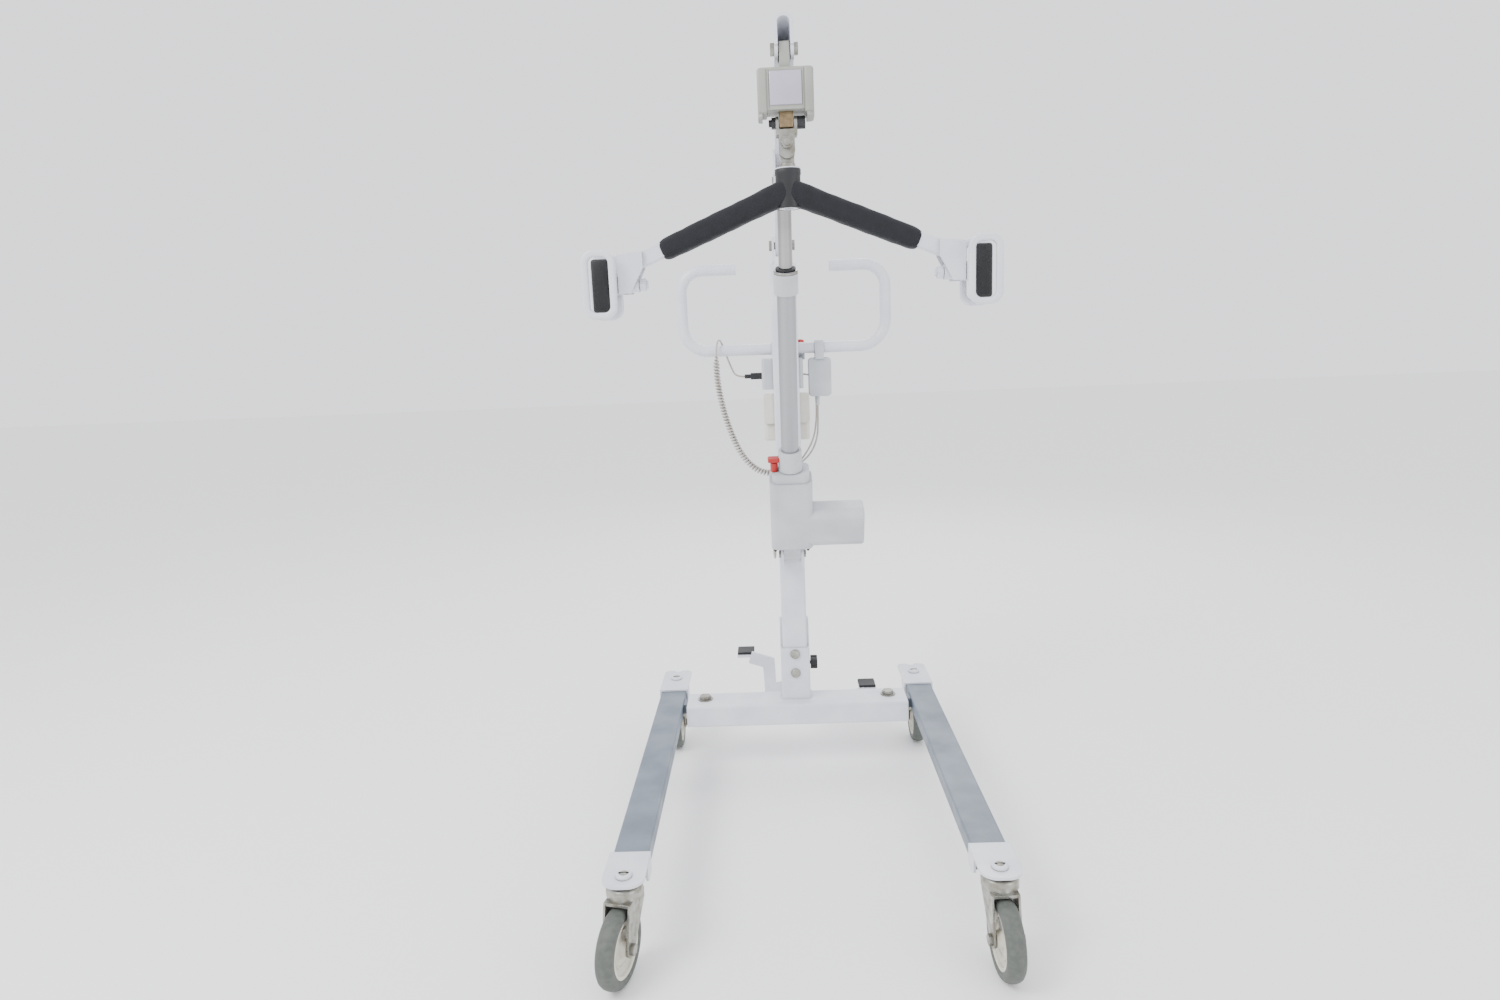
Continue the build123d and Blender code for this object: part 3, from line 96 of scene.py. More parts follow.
def finish(name, colour, shade, roughness, grain, depth, metallic=0.0, patch=60.0, spread=0.08,
           ior=1.5, painted_shade_colour="3A3834", painted_shade_amount=0.35, stretch=(1, 1, 1), turn=(0, 0, 0), edge=0.9,
           coat=0.0, sheen=0.0, cells=False):
    """A surface with slow colour drift, a fine grain in its bump and painted shade darkening its corners.

    grain, patch and edge are real sizes in millimetres: the grain's width, the width of
    the drifting patches and the radius that its edges are rounded to. depth is the grain's
    height in millimetres.
    """
    surface = bpy.data.materials.new(name)
    surface.use_nodes = True
    tree = surface.node_tree
    tree.nodes.clear()
    place = add_node(tree, "ShaderNodeTexCoord").outputs["Object"]
    aligned = add_node(tree, "ShaderNodeMapping", {"Vector": place, "Rotation": turn})
    mapped = add_node(tree, "ShaderNodeMapping", {"Vector": aligned.outputs[0], "Scale": stretch}).outputs[0]
    drift = add_node(tree, "ShaderNodeTexNoise", {"Vector": mapped, "Scale": 1 / (patch * MM), "Detail": 5.0})
    tone = add_node(tree, "ShaderNodeMapRange", {
        "Value": drift.outputs["Fac"], "From Min": 0.35, "From Max": 0.65,
    })
    paint = add_node(tree, "ShaderNodeMix", {"Factor": tone.outputs[0]}, data_type="RGBA")
    paint.inputs[MIX_FIRST].default_value = linear(colour)
    paint.inputs[MIX_SECOND].default_value = linear(shade)
    # painted shade: ambient occlusion mixes the colour towards a dark painted-shade colour in corners,
    # creases and between parts
    corner = add_node(tree, "ShaderNodeAmbientOcclusion", {"Distance": 9 * MM}, samples=6)
    painted_shade_mask = add_node(tree, "ShaderNodeMapRange", {
        "Value": corner.outputs["AO"], "From Min": 0.35, "From Max": 0.9,
        "To Min": painted_shade_amount, "To Max": 0.0,
    })
    body = add_node(tree, "ShaderNodeMix", {"Factor": painted_shade_mask.outputs[0]}, data_type="RGBA")
    tree.links.new(paint.outputs[MIX_RESULT], body.inputs[MIX_FIRST])
    body.inputs[MIX_SECOND].default_value = linear(painted_shade_colour)
    if cells:
        fine = add_node(tree, "ShaderNodeTexVoronoi", {"Vector": mapped, "Scale": 1 / (grain * MM)})
        height = fine.outputs["Distance"]
    else:
        fine = add_node(tree, "ShaderNodeTexNoise", {
            "Vector": mapped, "Scale": 1 / (grain * MM), "Detail": 3.0,
        })
        height = fine.outputs["Fac"]
    gloss = add_node(tree, "ShaderNodeMapRange", {
        "Value": drift.outputs["Fac"], "From Min": 0.3, "From Max": 0.7,
        "To Min": roughness - spread, "To Max": roughness + spread,
    })
    rounded = add_node(tree, "ShaderNodeBevel", {"Radius": edge * MM}, samples=4)
    bump = add_node(tree, "ShaderNodeBump", {
        "Height": height, "Distance": depth * MM, "Strength": 1.0, "Normal": rounded.outputs[0],
    })
    shader = add_node(tree, "ShaderNodeBsdfPrincipled", {
        "Base Color": body.outputs[MIX_RESULT], "Roughness": gloss.outputs[0], "Metallic": metallic,
        "IOR": ior, "Normal": bump.outputs[0], "Coat Weight": coat, "Sheen Weight": sheen,
    })
    add_node(tree, "ShaderNodeOutputMaterial", {"Surface": shader.outputs[0]})
    return surface


def make_finishes():
    """One finish for each material slot in the record, and a few for the small fittings."""
    lean = (-atan2(-ACTUATOR_AXIS.y, ACTUATOR_AXIS.z), 0, 0)
    # a dark colour and an amount, where a finish gives them, set the painted shade that darkens its corners
    # and crevices
    return {
        # powder-coated steel: satin, with a faint orange peel
        "frame_blue": finish("grey_blue_powder_coat", "6C7682", "5F6974", 0.42, 1.6, 0.05),
        "frame_white": finish("white_powder_coat", "DADBE2", "CFD1DA", 0.38, 1.6, 0.05, painted_shade_amount=0.28),
        # zinc-plated steel: soft grey shine with dull yellowish stains
        "zinc": finish("zinc_plated_steel", "A9A9A4", "8B877A", 0.36, 2.4, 0.04, metallic=0.9, patch=14.0,
                       spread=0.14, painted_shade_amount=0.5),
        # black powder coat: deep and slightly rough
        "black_steel": finish("black_powder_coat", "1D1E21", "26272B", 0.46, 1.4, 0.06, painted_shade_colour="0C0C0D"),
        # cast polyurethane: dull grey-green with scuffs
        "tyre": finish("cast_polyurethane", "4C504C", "5A5E58", 0.62, 3.0, 0.10, patch=9.0, painted_shade_colour="24241F"),
        # injection-moulded nylon: cream and slightly waxy
        "wheel_plastic": finish("moulded_nylon", "D6D2C4", "C2BDAD", 0.45, 2.2, 0.04, patch=18.0),
        # closed-cell foam: matt, pitted and nearly black
        "foam": finish("closed_cell_foam", "121318", "1A1B21", 0.95, 1.3, 0.25, patch=12.0, spread=0.03,
                       painted_shade_colour="08080A", sheen=0.06, cells=True),
        # moulded rubber: matt black
        "black_rubber": finish("moulded_rubber", "0F1011", "17181A", 0.6, 1.5, 0.05, painted_shade_colour="0A0A0A"),
        # textured ABS: light grey with a spark-eroded grain
        "grey_plastic": finish("textured_abs", "BFC3C7", "B4B8BC", 0.52, 1.2, 0.07),
        "dark_plastic": finish("black_textured_abs", "101113", "191A1D", 0.5, 1.2, 0.07, painted_shade_colour="0B0B0B"),
        # polished ABS: bright red and glossy
        "red_plastic": finish("red_polished_abs", "BE1C1C", "A81616", 0.26, 3.0, 0.01, painted_shade_colour="3A0808"),
        # drawn and anodised aluminium: fine lines along the tube
        "tube_aluminium": finish("drawn_anodised_aluminium", "B2B3B6", "A0A1A5", 0.3, 1.0, 0.012,
                                 metallic=1.0, stretch=(1, 1, 0.02), turn=lean),
        # ground chrome: bright, with the faintest rings
        "rod_chrome": finish("hard_chrome", "A3A2A2", "949292", 0.12, 1.2, 0.004, metallic=1.0,
                             spread=0.03, stretch=(0.1, 0.1, 1), turn=lean),
        # painted casting: greenish grey
        "scale_plastic": finish("moulded_scale_case", "9A9C93", "8D8F87", 0.48, 1.2, 0.06),
        # soft PVC: warm grey cord jacket
        "cord_pvc": finish("soft_pvc", "B3ADA6", "A29C95", 0.42, 1.5, 0.02, patch=20.0, painted_shade_colour="4A4642"),
        # cream ABS: the battery's case
        "cream_plastic": finish("cream_textured_abs", "DEDBD0", "D2CFC3", 0.5, 1.2, 0.07),
        # printed polyester film: silver-lilac and blank
        "film": finish("silver_polyester_film", "B9B4C4", "AFAABC", 0.35, 2.0, 0.01, metallic=0.3),
        # yellow passivated zinc: beige brown
        "passivated": finish("yellow_passivated_steel", "A08A68", "7C6A50", 0.4, 2.4, 0.04, metallic=0.7,
                             patch=10.0),
    }


def paint_frame(finishes):
    """Give every modelled node the finish of its slot."""
    slots = {part["node"]: part["material_slot"] for part in frame["record"]["subparts"]}
    for node, piece in frame["nodes"].items():
        for slot in piece.material_slots:
            slot.material = finishes[slots[node]]
        if not piece.material_slots:
            piece.data.materials.append(finishes[slots[node]])


# ---------------------------------------------------------------- mesh helpers

def add_piece(name, body, mesh, material):
    """Put a finished bmesh in the scene as a piece that rides on a body."""
    bmesh.ops.recalc_face_normals(mesh, faces=mesh.faces)
    data = bpy.data.meshes.new(name)
    mesh.to_mesh(data)
    mesh.free()
    data.materials.append(bpy.data.materials[material])
    for face in data.polygons:
        face.use_smooth = True
    piece = bpy.data.objects.new(name, data)
    bpy.context.scene.collection.objects.link(piece)
    data.set_sharp_from_angle(angle=radians(35))
    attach(piece, body)
    return piece


def turned(profile, steps=72):
    """Spin a closed outline of (radius, along) points in millimetres about the X axis."""
    mesh = bmesh.new()
    corners = [mesh.verts.new((along * MM, 0, radius * MM)) for radius, along in profile]
    edges = [mesh.edges.new((a, b)) for a, b in zip(corners, corners[1:])]
    if profile[0][0] > 0:
        edges.append(mesh.edges.new((corners[-1], corners[0])))
    bmesh.ops.spin(
        mesh, geom=corners + edges, cent=(0, 0, 0), axis=(1, 0, 0), angle=2 * pi,
        steps=steps, use_merge=True,
    )
    bmesh.ops.remove_doubles(mesh, verts=mesh.verts, dist=1e-6)
    return mesh


def rounded_block(size, radius, segments=3):
    """A box of (x, y, z) millimetres with every edge rounded."""
    mesh = bmesh.new()
    bmesh.ops.create_cube(mesh, size=1)
    bmesh.ops.scale(mesh, vec=[side * MM for side in size], verts=mesh.verts)
    bmesh.ops.bevel(
        mesh, geom=mesh.edges[:], offset=radius * MM, segments=segments, profile=0.5,
        affect="EDGES", material=-1,
    )
    return mesh


def moved(mesh, place, matrix=None):
    """Turn a mesh and set it down at a place."""
    if matrix is not None:
        bmesh.ops.transform(mesh, matrix=matrix.to_4x4(), verts=mesh.verts)
    bmesh.ops.translate(mesh, vec=place, verts=mesh.verts)
    return mesh


def facing(direction):
    """The turn that sends +X to a direction."""
    return Vector(direction).to_track_quat("X", "Z").to_matrix()


# ---------------------------------------------------------------- sizes and colours

class LiftStage(bpy.types.PropertyGroup):
    camera_place: bpy.props.FloatVectorProperty(
        name="Camera place", description="Where the camera stands", subtype="XYZ", unit="LENGTH",
        default=(-0.0383, -1.7154, 0.9882))
    yaw: bpy.props.FloatProperty(
        name="Yaw", description="Camera turned from straight ahead", subtype="ANGLE", default=radians(-1.5))
    pitch: bpy.props.FloatProperty(
        name="Pitch", description="Camera tipped down", subtype="ANGLE", default=radians(10.0))
    roll: bpy.props.FloatProperty(
        name="Roll", description="Camera leaned over", subtype="ANGLE", default=radians(-2.3))
    focal_length: bpy.props.FloatProperty(
        name="Focal length", description="Lens, in millimetres, on a 36 mm sensor", default=21.6)
    floor_colour: bpy.props.StringProperty(
        name="Floor colour", description="sRGB hex colour of the floor", default="F7F7F6")


class LiftCasters(bpy.types.PropertyGroup):
    tyre_radius: bpy.props.FloatProperty(
        name="Tyre radius", description="Outside of the tyre, mm", default=62.5)
    tyre_width: bpy.props.FloatProperty(name="Tyre width", description="Width of the tyre, mm", default=30.0)
    rim_radius: bpy.props.FloatProperty(
        name="Rim radius", description="Where tyre meets wheel, mm", default=45.5)


class LiftFoam(bpy.types.PropertyGroup):
    height: bpy.props.FloatProperty(name="Height", description="Sleeve height at its end, mm", default=33.0)
    depth: bpy.props.FloatProperty(name="Depth", description="Sleeve depth, mm", default=33.0)
    bulge: bpy.props.FloatProperty(name="Bulge", description="How much fuller the middle is, mm", default=2.5)


class LiftCords(bpy.types.PropertyGroup):
    diameter: bpy.props.FloatProperty(name="Diameter", description="Thickness of the cords, mm", default=4.2)
    curl_radius: bpy.props.FloatProperty(
        name="Curl radius", description="Centre line of the curls, mm", default=5.8)
    curl_pitch: bpy.props.FloatProperty(name="Curl pitch", description="Length of one curl, mm", default=7.2)


# ---------------------------------------------------------------- cords

TAIL_ROUTE = [
    (0.072, HANDLE_Y, 0.837), (0.072, HANDLE_Y, 0.800), (0.069, HANDLE_Y - 0.003, 0.762),
    (0.055, HANDLE_Y - 0.005, 0.729), (0.028, HANDLE_Y - 0.0033, 0.7029), (-0.004, HANDLE_Y - 0.006, 0.693),
]
CURL_ROUTE = [
    (-0.004, HANDLE_Y - 0.006, 0.693), (-0.040, HANDLE_Y - 0.009, 0.682), (-0.076, HANDLE_Y - 0.012, 0.694),
    (-0.106, HANDLE_Y - 0.015, 0.727), (-0.127, HANDLE_Y - 0.018, 0.774), (-0.142, HANDLE_Y - 0.020, 0.824),
    (-0.152, HANDLE_Y - 0.021, 0.874), (-0.157, HANDLE_Y - 0.022, 0.922), (-0.155, HANDLE_Y - 0.022, 0.962),
]
OVER_ROUTE = [
    (-0.155, HANDLE_Y - 0.022, 0.962), (-0.154, HANDLE_Y - 0.022, 0.982), (-0.149, HANDLE_Y - 0.002, 0.997),
    (-0.142, HANDLE_Y + 0.018, 0.982), (-0.134, HANDLE_Y + 0.022, 0.956), (-0.125, HANDLE_Y + 0.024, 0.931),
    (-0.115, HANDLE_Y + 0.025, 0.908), (-0.094, HANDLE_Y + 0.025, 0.908),
]
LEAD_START = ACTUATOR_FOOT + ACTUATOR_AXIS * 0.031 + Vector((-0.037, 0, 0))
LEAD_ROUTE = [
    tuple(LEAD_START), tuple(LEAD_START - ACTUATOR_AXIS * 0.021),
    (-0.038, FOOT_Y + 0.018, 0.506), (-0.040, FOOT_Y + 0.052, 0.503), (-0.041, FOOT_Y + 0.086, 0.522),
    (-0.041, FOOT_Y + 0.112, 0.560), (-0.035, FOOT_Y + 0.128, 0.608), (-0.018, FOOT_Y + 0.132, 0.654),
    (0.010, FOOT_Y + 0.134, 0.690), (0.040, FOOT_Y + 0.140, 0.722), (0.062, FOOT_Y + 0.152, 0.758),
    (0.070, FOOT_Y + 0.166, 0.802), (0.071, FOOT_Y + 0.176, 0.844), (0.068, FOOT_Y + 0.171, 0.884),
    (0.060, FOOT_Y + 0.166, 0.908), (0.040, FOOT_Y + 0.166, 0.908),
]


def spline_curve(name, points):
    """A curve object of one smooth spline."""
    data = bpy.data.curves.new(name, "CURVE")
    data.dimensions = "3D"
    data.resolution_u = 6
    data.bevel_resolution = 3
    data.use_fill_caps = True
    spline = data.splines.new("NURBS")
    spline.points.add(len(points) - 1)
    for control, point in zip(spline.points, points):
        control.co = (*point, 1.0)
    spline.order_u = 3
    spline.use_endpoint_u = True
    curve = bpy.data.objects.new(name, data)
    bpy.context.scene.collection.objects.link(curve)
    return curve


def points_along(route):
    """Points read from a route's own smooth spline."""
    guide = spline_curve("guide", route)
    mesh = bpy.data.meshes.new_from_object(guide.evaluated_get(bpy.context.evaluated_depsgraph_get()))
    points = [vertex.co.copy() for vertex in mesh.vertices]
    bpy.data.meshes.remove(mesh)
    bpy.data.objects.remove(guide)
    return points


def length_of(points):
    return sum((b - a).length for a, b in zip(points, points[1:]))


def curled(route, radius, pitch, per_turn=12, ease_turns=3):
    """Helix points round a route, starting and ending on it."""
    line = points_along(route)
    total = length_of(line)
    turns = round(total / pitch)
    steps = turns * per_turn
    points = []
    side = Vector((0, 1, 0))
    travelled = 0.0
    segment = 0
    for step in range(steps + 1):
        target = total * step / steps
        while segment < len(line) - 2 and travelled + (line[segment + 1] - line[segment]).length < target:
            travelled += (line[segment + 1] - line[segment]).length
            segment += 1
        start, end = line[segment], line[segment + 1]
        along = (end - start).normalized()
        centre = start + along * (target - travelled)
        side = (side - along * side.dot(along)).normalized()
        other = along.cross(side)
        ease = min(1.0, min(step, steps - step) / (per_turn * ease_turns))
        angle = 2 * pi * step / per_turn
        points.append(centre + (side * cos(angle) + other * sin(angle)) * radius * ease)
    return points


def laid_cord(name, points, diameter):
    """A cord as a mesh tube along one smooth spline, and the line that it follows."""
    curve = spline_curve(name, points)
    graph = bpy.context.evaluated_depsgraph_get()
    line = bpy.data.meshes.new_from_object(curve.evaluated_get(graph))
    path = [vertex.co.copy() for vertex in line.vertices]
    curve.data.bevel_depth = diameter / 2
    graph.update()
    tube = bpy.data.meshes.new_from_object(curve.evaluated_get(graph))
    bpy.data.meshes.remove(line)
    bpy.data.objects.remove(curve)
    tube.materials.clear()
    tube.materials.append(bpy.data.materials["soft_pvc"])
    piece = bpy.data.objects.new(name, tube)
    bpy.context.scene.collection.objects.link(piece)
    for face in tube.polygons:
        face.use_smooth = True
    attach(piece, "base")
    return piece, path


class LIFT_OT_cords(bpy.types.Operator):
    """Lay the handset's curly cord and the actuator's lead"""
    bl_idname = "lift.cords"
    bl_label = "Cords"

    def execute(self, context):
        sizes = context.scene.lift_cords
        diameter = sizes.diameter * MM
        curls = curled(CURL_ROUTE, sizes.curl_radius * MM, sizes.curl_pitch * MM)
        points = TAIL_ROUTE[:-1] + [tuple(point) for point in curls] + OVER_ROUTE[1:]
        cord, cord_line = laid_cord("handset_cord", points, diameter)
        lead, lead_line = laid_cord("motor_lead", LEAD_ROUTE, diameter)
        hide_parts("handset_cord_curl", "handset_cord_leads")
        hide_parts("actuator_lead")
        return {"FINISHED"}


# ---------------------------------------------------------------- casters

class LIFT_OT_wheels(bpy.types.Operator):
    """Turn the tyres and wheel centres"""
    bl_idname = "lift.wheels"
    bl_label = "Wheels"

    def execute(self, context):
        sizes = context.scene.lift_casters
        outer, half, rim = sizes.tyre_radius, sizes.tyre_width / 2, sizes.rim_radius
        tyre_outline = [
            (rim, -half + 1.5), (rim + 3, -half + 0.4), (rim + 8, -half), (outer - 6.5, -half + 0.6),
            (outer - 3.2, -half + 3.2), (outer - 1.0, -half + 7.4), (outer, -half + 12.5),
            (outer, half - 12.5), (outer - 1.0, half - 7.4), (outer - 3.2, half - 3.2),
            (outer - 6.5, half - 0.6), (rim + 8, half), (rim + 3, half - 0.4), (rim, half - 1.5),
        ]
        wheel_side = [
            (5.1, 17.4), (11.0, 17.4), (12.8, 16.6), (13.2, 12.0), (15.5, 7.6), (20.0, 6.6), (26.5, 6.2),
            (28.0, 8.4), (29.6, 8.4), (31.0, 6.2), (36.0, 6.4), (39.0, 8.6), (40.2, 12.6), (42.0, 13.4),
            (rim - 0.1, 13.2),
        ]
        wheel_outline = wheel_side + [(radius, -along) for radius, along in reversed(wheel_side)]
        for end in ("front_left", "front_right", "rear_left", "rear_right"):
            roll = JOINTS[f"{end}_roll"]
            turn = facing(roll["axis"])
            for label, outline, node, material, slot in (
                ("tyre_tread", tyre_outline, f"{end}_tyre", "cast_polyurethane", "tyre"),
                ("wheel_centre", wheel_outline, f"{end}_wheel_hub", "moulded_nylon", "wheel_plastic"),
            ):
                mesh = moved(turned(outline), roll["pos_m"], turn)
                piece = add_piece(f"{end}_{label}", f"{end}_wheel", mesh, material)
                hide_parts(node)
        return {"FINISHED"}


class LIFT_OT_caps(bpy.types.Operator):
    """Add the domed caps over the king pins"""
    bl_idname = "lift.caps"
    bl_label = "Domed caps"

    def execute(self, context):
        outline = [(0, 7.2), (4, 6.9), (8, 5.8), (11, 4.0), (12.8, 1.6), (13.4, 0.2), (13.4, -0.4), (0, -0.4)]
        for end in ("front_left", "front_right", "rear_left", "rear_right"):
            swivel = JOINTS[f"{end}_swivel"]["pos_m"]
            side = end.split("_")[1]
            low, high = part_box(f"leg_{side}_{end.split('_')[0]}_bracket")
            base = (swivel[0], swivel[1], high[2] - 6 * MM)
            cap = moved(turned(outline, 40), base, facing((0, 0, 1)))
            add_piece(f"{end}_cap", f"leg_{side}", cap, "zinc_plated_steel")
            slot = rounded_block((17, 2.2, 1.0), 0.3)
            place = (base[0], base[1], base[2] + 6.9 * MM)
            add_piece(f"{end}_cap_slot", f"leg_{side}", moved(slot, place), "moulded_rubber")
        return {"FINISHED"}


# ---------------------------------------------------------------- foam sleeves

class LIFT_OT_foam(bpy.types.Operator):
    """Shape the two foam sleeves of the spreader bar"""
    bl_idname = "lift.foam"
    bl_label = "Foam sleeves"

    def execute(self, context):
        sizes = context.scene.lift_foam
        low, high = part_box("spreader_pad")
        fall = radians(ARM_FALL)
        middle_y = (low.y + high.y) / 2
        root_z = SCALE_PIN.z - 0.093
        reach = (high.x - 0.003) / cos(fall)
        sleeves = []
        for side, hand in ((-1, "left"), (1, "right")):
            outwards = Vector((side * cos(fall), 0, -sin(fall)))
            square = Vector((side * sin(fall), 0, cos(fall)))
            mesh = bmesh.new()
            rings = []
            stations, corners, squareness = 26, 28, 0.62
            for station in range(stations + 1):
                share = station / stations
                along = 0.004 + (reach - 0.008) * share
                ease = min(1.0, (1 - share) * 12 + 0.8) * (1 + 0.16 * max(0.0, 1 - share * 3.5))
                swell = sizes.bulge * (1 - (2 * share - 1) ** 2) + 0.5 * sin(station * 2.4 + side)
                ring = []
                for corner in range(corners):
                    angle = 2 * pi * corner / corners
                    across = abs(cos(angle)) ** squareness * (1 if cos(angle) > 0 else -1)
                    upward = abs(sin(angle)) ** squareness * (1 if sin(angle) > 0 else -1)
                    ripple = 0.35 * sin(5 * angle + station * 1.3)
                    half_depth = (sizes.depth / 2 - 0.4 + ripple * 0.4) * ease
                    half_height = (sizes.height / 2 - 1 + swell * 0.5 + ripple) * ease
                    point = Vector((0, middle_y, root_z)) + outwards * along
                    point += Vector((0, across * half_depth * MM, 0))
                    point += square * (upward * half_height - 1) * MM
                    ring.append(mesh.verts.new(point))
                rings.append([mesh.edges.new((a, b)) for a, b in zip(ring, ring[1:] + ring[:1])])
            for near, far in zip(rings, rings[1:]):
                bmesh.ops.bridge_loops(mesh, edges=near + far)
            for edges in (rings[0], rings[-1]):
                cap = bmesh.ops.contextual_create(mesh, geom=edges)["faces"]
                bmesh.ops.inset_region(mesh, faces=cap, thickness=2.5 * MM, depth=0)
            piece = add_piece(f"foam_sleeve_{hand}", "spreader", mesh, "closed_cell_foam")
            smooth = piece.modifiers.new("smooth", "SUBSURF")
            smooth.levels = smooth.render_levels = 2
            sleeves.append(piece)
        for piece in sleeves:
            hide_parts("spreader_pad")
        return {"FINISHED"}


# ---------------------------------------------------------------- small fittings

class LIFT_OT_fittings(bpy.types.Operator):
    """Add the scale's panels, the actuator's rings and plugs and the wear parts"""
    bl_idname = "lift.fittings"
    bl_label = "Small fittings"

    def execute(self, context):
        low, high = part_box("scale_housing")
        middle = (low + high) / 2
        pin_z = SCALE_PIN.z
        for face, label in ((-1, "front"), (1, "back")):
            y = low.y if face < 0 else high.y
            panel = rounded_block((46, 2.4, 46), 1.1)
            place = (middle.x, y + face * 0.3 * MM, pin_z + 43 * MM)
            moved(panel, place)
            add_piece(f"scale_panel_{label}", "scale", panel, "silver_polyester_film")
        for side in (-1, 1):
            shell = rounded_block((13, (high.y - low.y) / MM + 3, 60), 2.5)
            place = (middle.x + side * 33.5 * MM, middle.y, pin_z + 40 * MM)
            hand = "left" if side < 0 else "right"
            moved(shell, place)
            add_piece(f"scale_shell_{hand}", "scale", shell, "moulded_scale_case")
            rib = rounded_block((1.6, (high.y - low.y) / MM + 2, 56), 0.7)
            place = (middle.x + side * 25 * MM, middle.y, pin_z + 42 * MM)
            add_piece(f"scale_rib_{hand}", "scale", moved(rib, place), "moulded_scale_case")
        boss = rounded_block((20.8, 20.0, 27.0), 2.0)
        add_piece("scale_lug_cover", "scale", moved(boss, (middle.x, middle.y, pin_z + 5.0 * MM)),
                  "yellow_passivated_steel")
        for hand in ("left", "right"):
            low_hook, high_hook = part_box(f"hook_{hand}")
            centre = (low_hook + high_hook) / 2
            inner = JOINTS[f"hook_{hand}_swing"]["pos_m"][0]
            side = 1 if inner > 0 else -1
            keeper = rounded_block((27, 22, 78), 4)
            place = (centre.x + side * 1.5 * MM, centre.y, centre.z)
            moved(keeper, place)
            add_piece(f"hook_keeper_{hand}", f"hook_{hand}", keeper, "moulded_rubber")
            nut_radius, nut_height, nut_inwards = 9.5 * MM, 8 * MM, 41 * MM
            nut = bmesh.new()
            bmesh.ops.create_cone(
                nut, cap_ends=True, segments=6, radius1=nut_radius, radius2=nut_radius, depth=nut_height)
            place = (inner - side * nut_inwards, centre.y, JOINTS[f"hook_{hand}_swing"]["pos_m"][2])
            moved(nut, place, facing((0, 0, 1)))
            add_piece(f"hook_nut_{hand}", "spreader", nut, "zinc_plated_steel")
        turn = facing(ACTUATOR_AXIS)
        for name, along, outline, material, slot in (
            ("wiper_ring", 634, [(13.3, 0), (18, 0), (19.5, 1.5), (19.0, 4.0), (15.0, 5.0), (13.3, 4.6)],
             "moulded_rubber", "black_rubber"),
            ("collar_rim", 629, [(22.1, 0), (23.2, 0.8), (23.2, 3.4), (22.1, 4.2)],
             "zinc_plated_steel", "zinc"),
            ("top_collar", 592, [(18.1, -3), (22.4, -3), (23.2, -1.5), (23.2, 36), (18.1, 37)],
             "textured_abs", "grey_plastic"),
            ("foot_collar", 213,
             [(18.1, 0), (25.4, 0), (25.4, 4), (24.4, 5.5), (24.4, 43), (23.4, 45), (18.1, 45)],
             "textured_abs", "grey_plastic"),
        ):
            ring = moved(turned(outline, 64), ACTUATOR_FOOT + ACTUATOR_AXIS * along * MM, turn)
            add_piece(name, "actuator", ring, material)
        sleeve = turned([
            (14.1, 0), (17.6, 0), (18.4, 1), (18.4, 46), (19.2, 48), (19.2, 55), (18.4, 56.5), (14.1, 56.5),
        ])
        bottom = SCALE_PIN.z - (63 + 57) * MM
        place = (middle.x, middle.y, bottom)
        moved(sleeve, place, facing((0, 0, 1)))
        add_piece("hub_sleeve", "spreader", sleeve, "black_textured_abs")
        for side in (-1, 1):
            gland = turned([(0, 0), (5.5, 0), (5.5, -10), (4.2, -20), (2.7, -24), (0, -24)], 32)
            place = ACTUATOR_FOOT + ACTUATOR_AXIS * 32 * MM + Vector((side * 37 * MM, 0, 0))
            if side > 0:
                place = place - Vector((2 * MM, 0, 0))
            add_piece("plug_left" if side < 0 else "plug_right", "actuator", moved(gland, place, turn),
                      "black_textured_abs")
        return {"FINISHED"}


# ---------------------------------------------------------------- stage

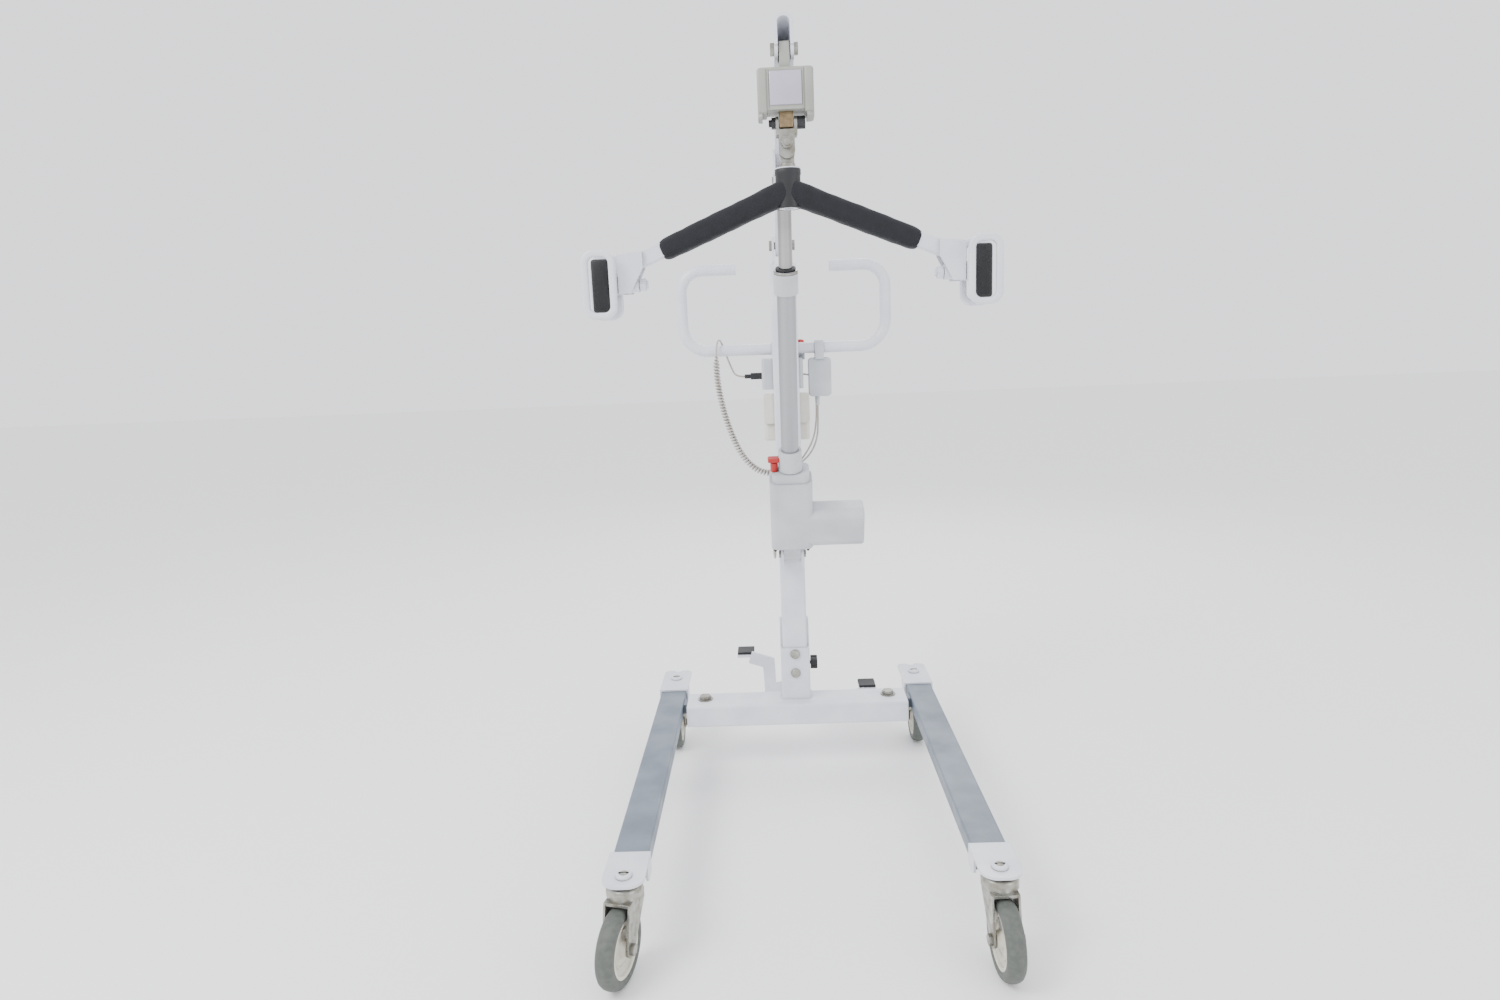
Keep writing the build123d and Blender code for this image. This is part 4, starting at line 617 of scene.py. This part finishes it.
class LIFT_OT_stage(bpy.types.Operator):
    """Set the camera, the floor and the soft studio light"""
    bl_idname = "lift.stage"
    bl_label = "Stage"

    def execute(self, context):
        settings = context.scene.lift_stage
        yaw, pitch, roll = settings.yaw, settings.pitch, settings.roll
        ahead = Vector((sin(yaw) * cos(pitch), cos(yaw) * cos(pitch), -sin(pitch)))
        right = Vector((cos(yaw), -sin(yaw), 0))
        above = right.cross(ahead)
        leaned_right = right * cos(roll) + above * sin(roll)
        leaned_above = above * cos(roll) - right * sin(roll)
        lens = bpy.data.cameras.new("camera")
        lens.lens = settings.focal_length
        lens.sensor_width = 36.0
        camera = bpy.data.objects.new("camera", lens)
        context.scene.collection.objects.link(camera)
        turn = Matrix((leaned_right, leaned_above, -ahead)).transposed()
        camera.matrix_world = Matrix.Translation(settings.camera_place) @ turn.to_4x4()
        context.scene.camera = camera

        mesh = bmesh.new()
        bmesh.ops.create_grid(mesh, x_segments=1, y_segments=1, size=14)
        data = bpy.data.meshes.new("floor")
        mesh.to_mesh(data)
        mesh.free()
        floor = bpy.data.objects.new("floor", data)
        context.scene.collection.objects.link(floor)
        paper = bpy.data.materials.new("floor_paper")
        paper.use_nodes = True
        shader = paper.node_tree.nodes["Principled BSDF"]
        shader.inputs["Base Color"].default_value = linear(settings.floor_colour)
        shader.inputs["Roughness"].default_value = 0.85
        floor.data.materials.append(paper)

        world = bpy.data.worlds.new("studio")
        context.scene.world = world
        world.use_nodes = True
        backdrop = world.node_tree.nodes["Background"]
        backdrop.inputs["Color"].default_value = linear("FAFBFF")
        backdrop.inputs["Strength"].default_value = 1.7
        for name, place, size, power in (
            ("key", (-2.0, -1.6, 3.0), 1.4, 90.0),
            ("fill", (2.4, -2.0, 1.4), 1.6, 18.0),
            ("back", (0.6, 2.6, 2.6), 1.8, 40.0),
        ):
            lamp = bpy.data.lights.new(name, "AREA")
            lamp.size = size
            lamp.energy = power
            light = bpy.data.objects.new(name, lamp)
            context.scene.collection.objects.link(light)
            light.location = place
            towards = Vector((0, 0, 0.8)) - Vector(place)
            light.rotation_mode = "QUATERNION"
            light.rotation_quaternion = towards.to_track_quat("-Z", "Y")
        return {"FINISHED"}


class LIFT_PT_panel(bpy.types.Panel):
    """Shows the operators and their settings in the sidebar"""
    bl_idname = "LIFT_PT_panel"
    bl_label = "Patient Lift"
    bl_space_type = "VIEW_3D"
    bl_region_type = "UI"
    bl_category = "Patient Lift"

    def draw(self, context):
        for operator in OPERATORS:
            self.layout.operator(operator.bl_idname)
        for group in GROUPS:
            settings = getattr(context.scene, group)
            for name in settings.bl_rna.properties.keys():
                if name not in ("rna_type", "name"):
                    self.layout.prop(settings, name)


GROUPS = {
    "lift_stage": LiftStage,
    "lift_casters": LiftCasters,
    "lift_foam": LiftFoam,
    "lift_cords": LiftCords,
}
OPERATORS = (LIFT_OT_stage, LIFT_OT_cords, LIFT_OT_wheels, LIFT_OT_caps, LIFT_OT_foam, LIFT_OT_fittings)


def register():
    for group, kind in GROUPS.items():
        bpy.utils.register_class(kind)
        setattr(bpy.types.Scene, group, bpy.props.PointerProperty(type=kind))
    for kind in (*OPERATORS, LIFT_PT_panel):
        bpy.utils.register_class(kind)


def unregister():
    for kind in reversed((*OPERATORS, LIFT_PT_panel)):
        bpy.utils.unregister_class(kind)
    for group, kind in GROUPS.items():
        delattr(bpy.types.Scene, group)
        bpy.utils.unregister_class(kind)


def main():
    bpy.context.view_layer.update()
    register()
    paint_frame(make_finishes())
    bpy.ops.lift.stage()
    bpy.ops.lift.cords()
    bpy.ops.lift.wheels()
    bpy.ops.lift.caps()
    bpy.ops.lift.foam()
    bpy.ops.lift.fittings()
    bpy.context.view_layer.update()


if __name__ == "__main__":
    main()
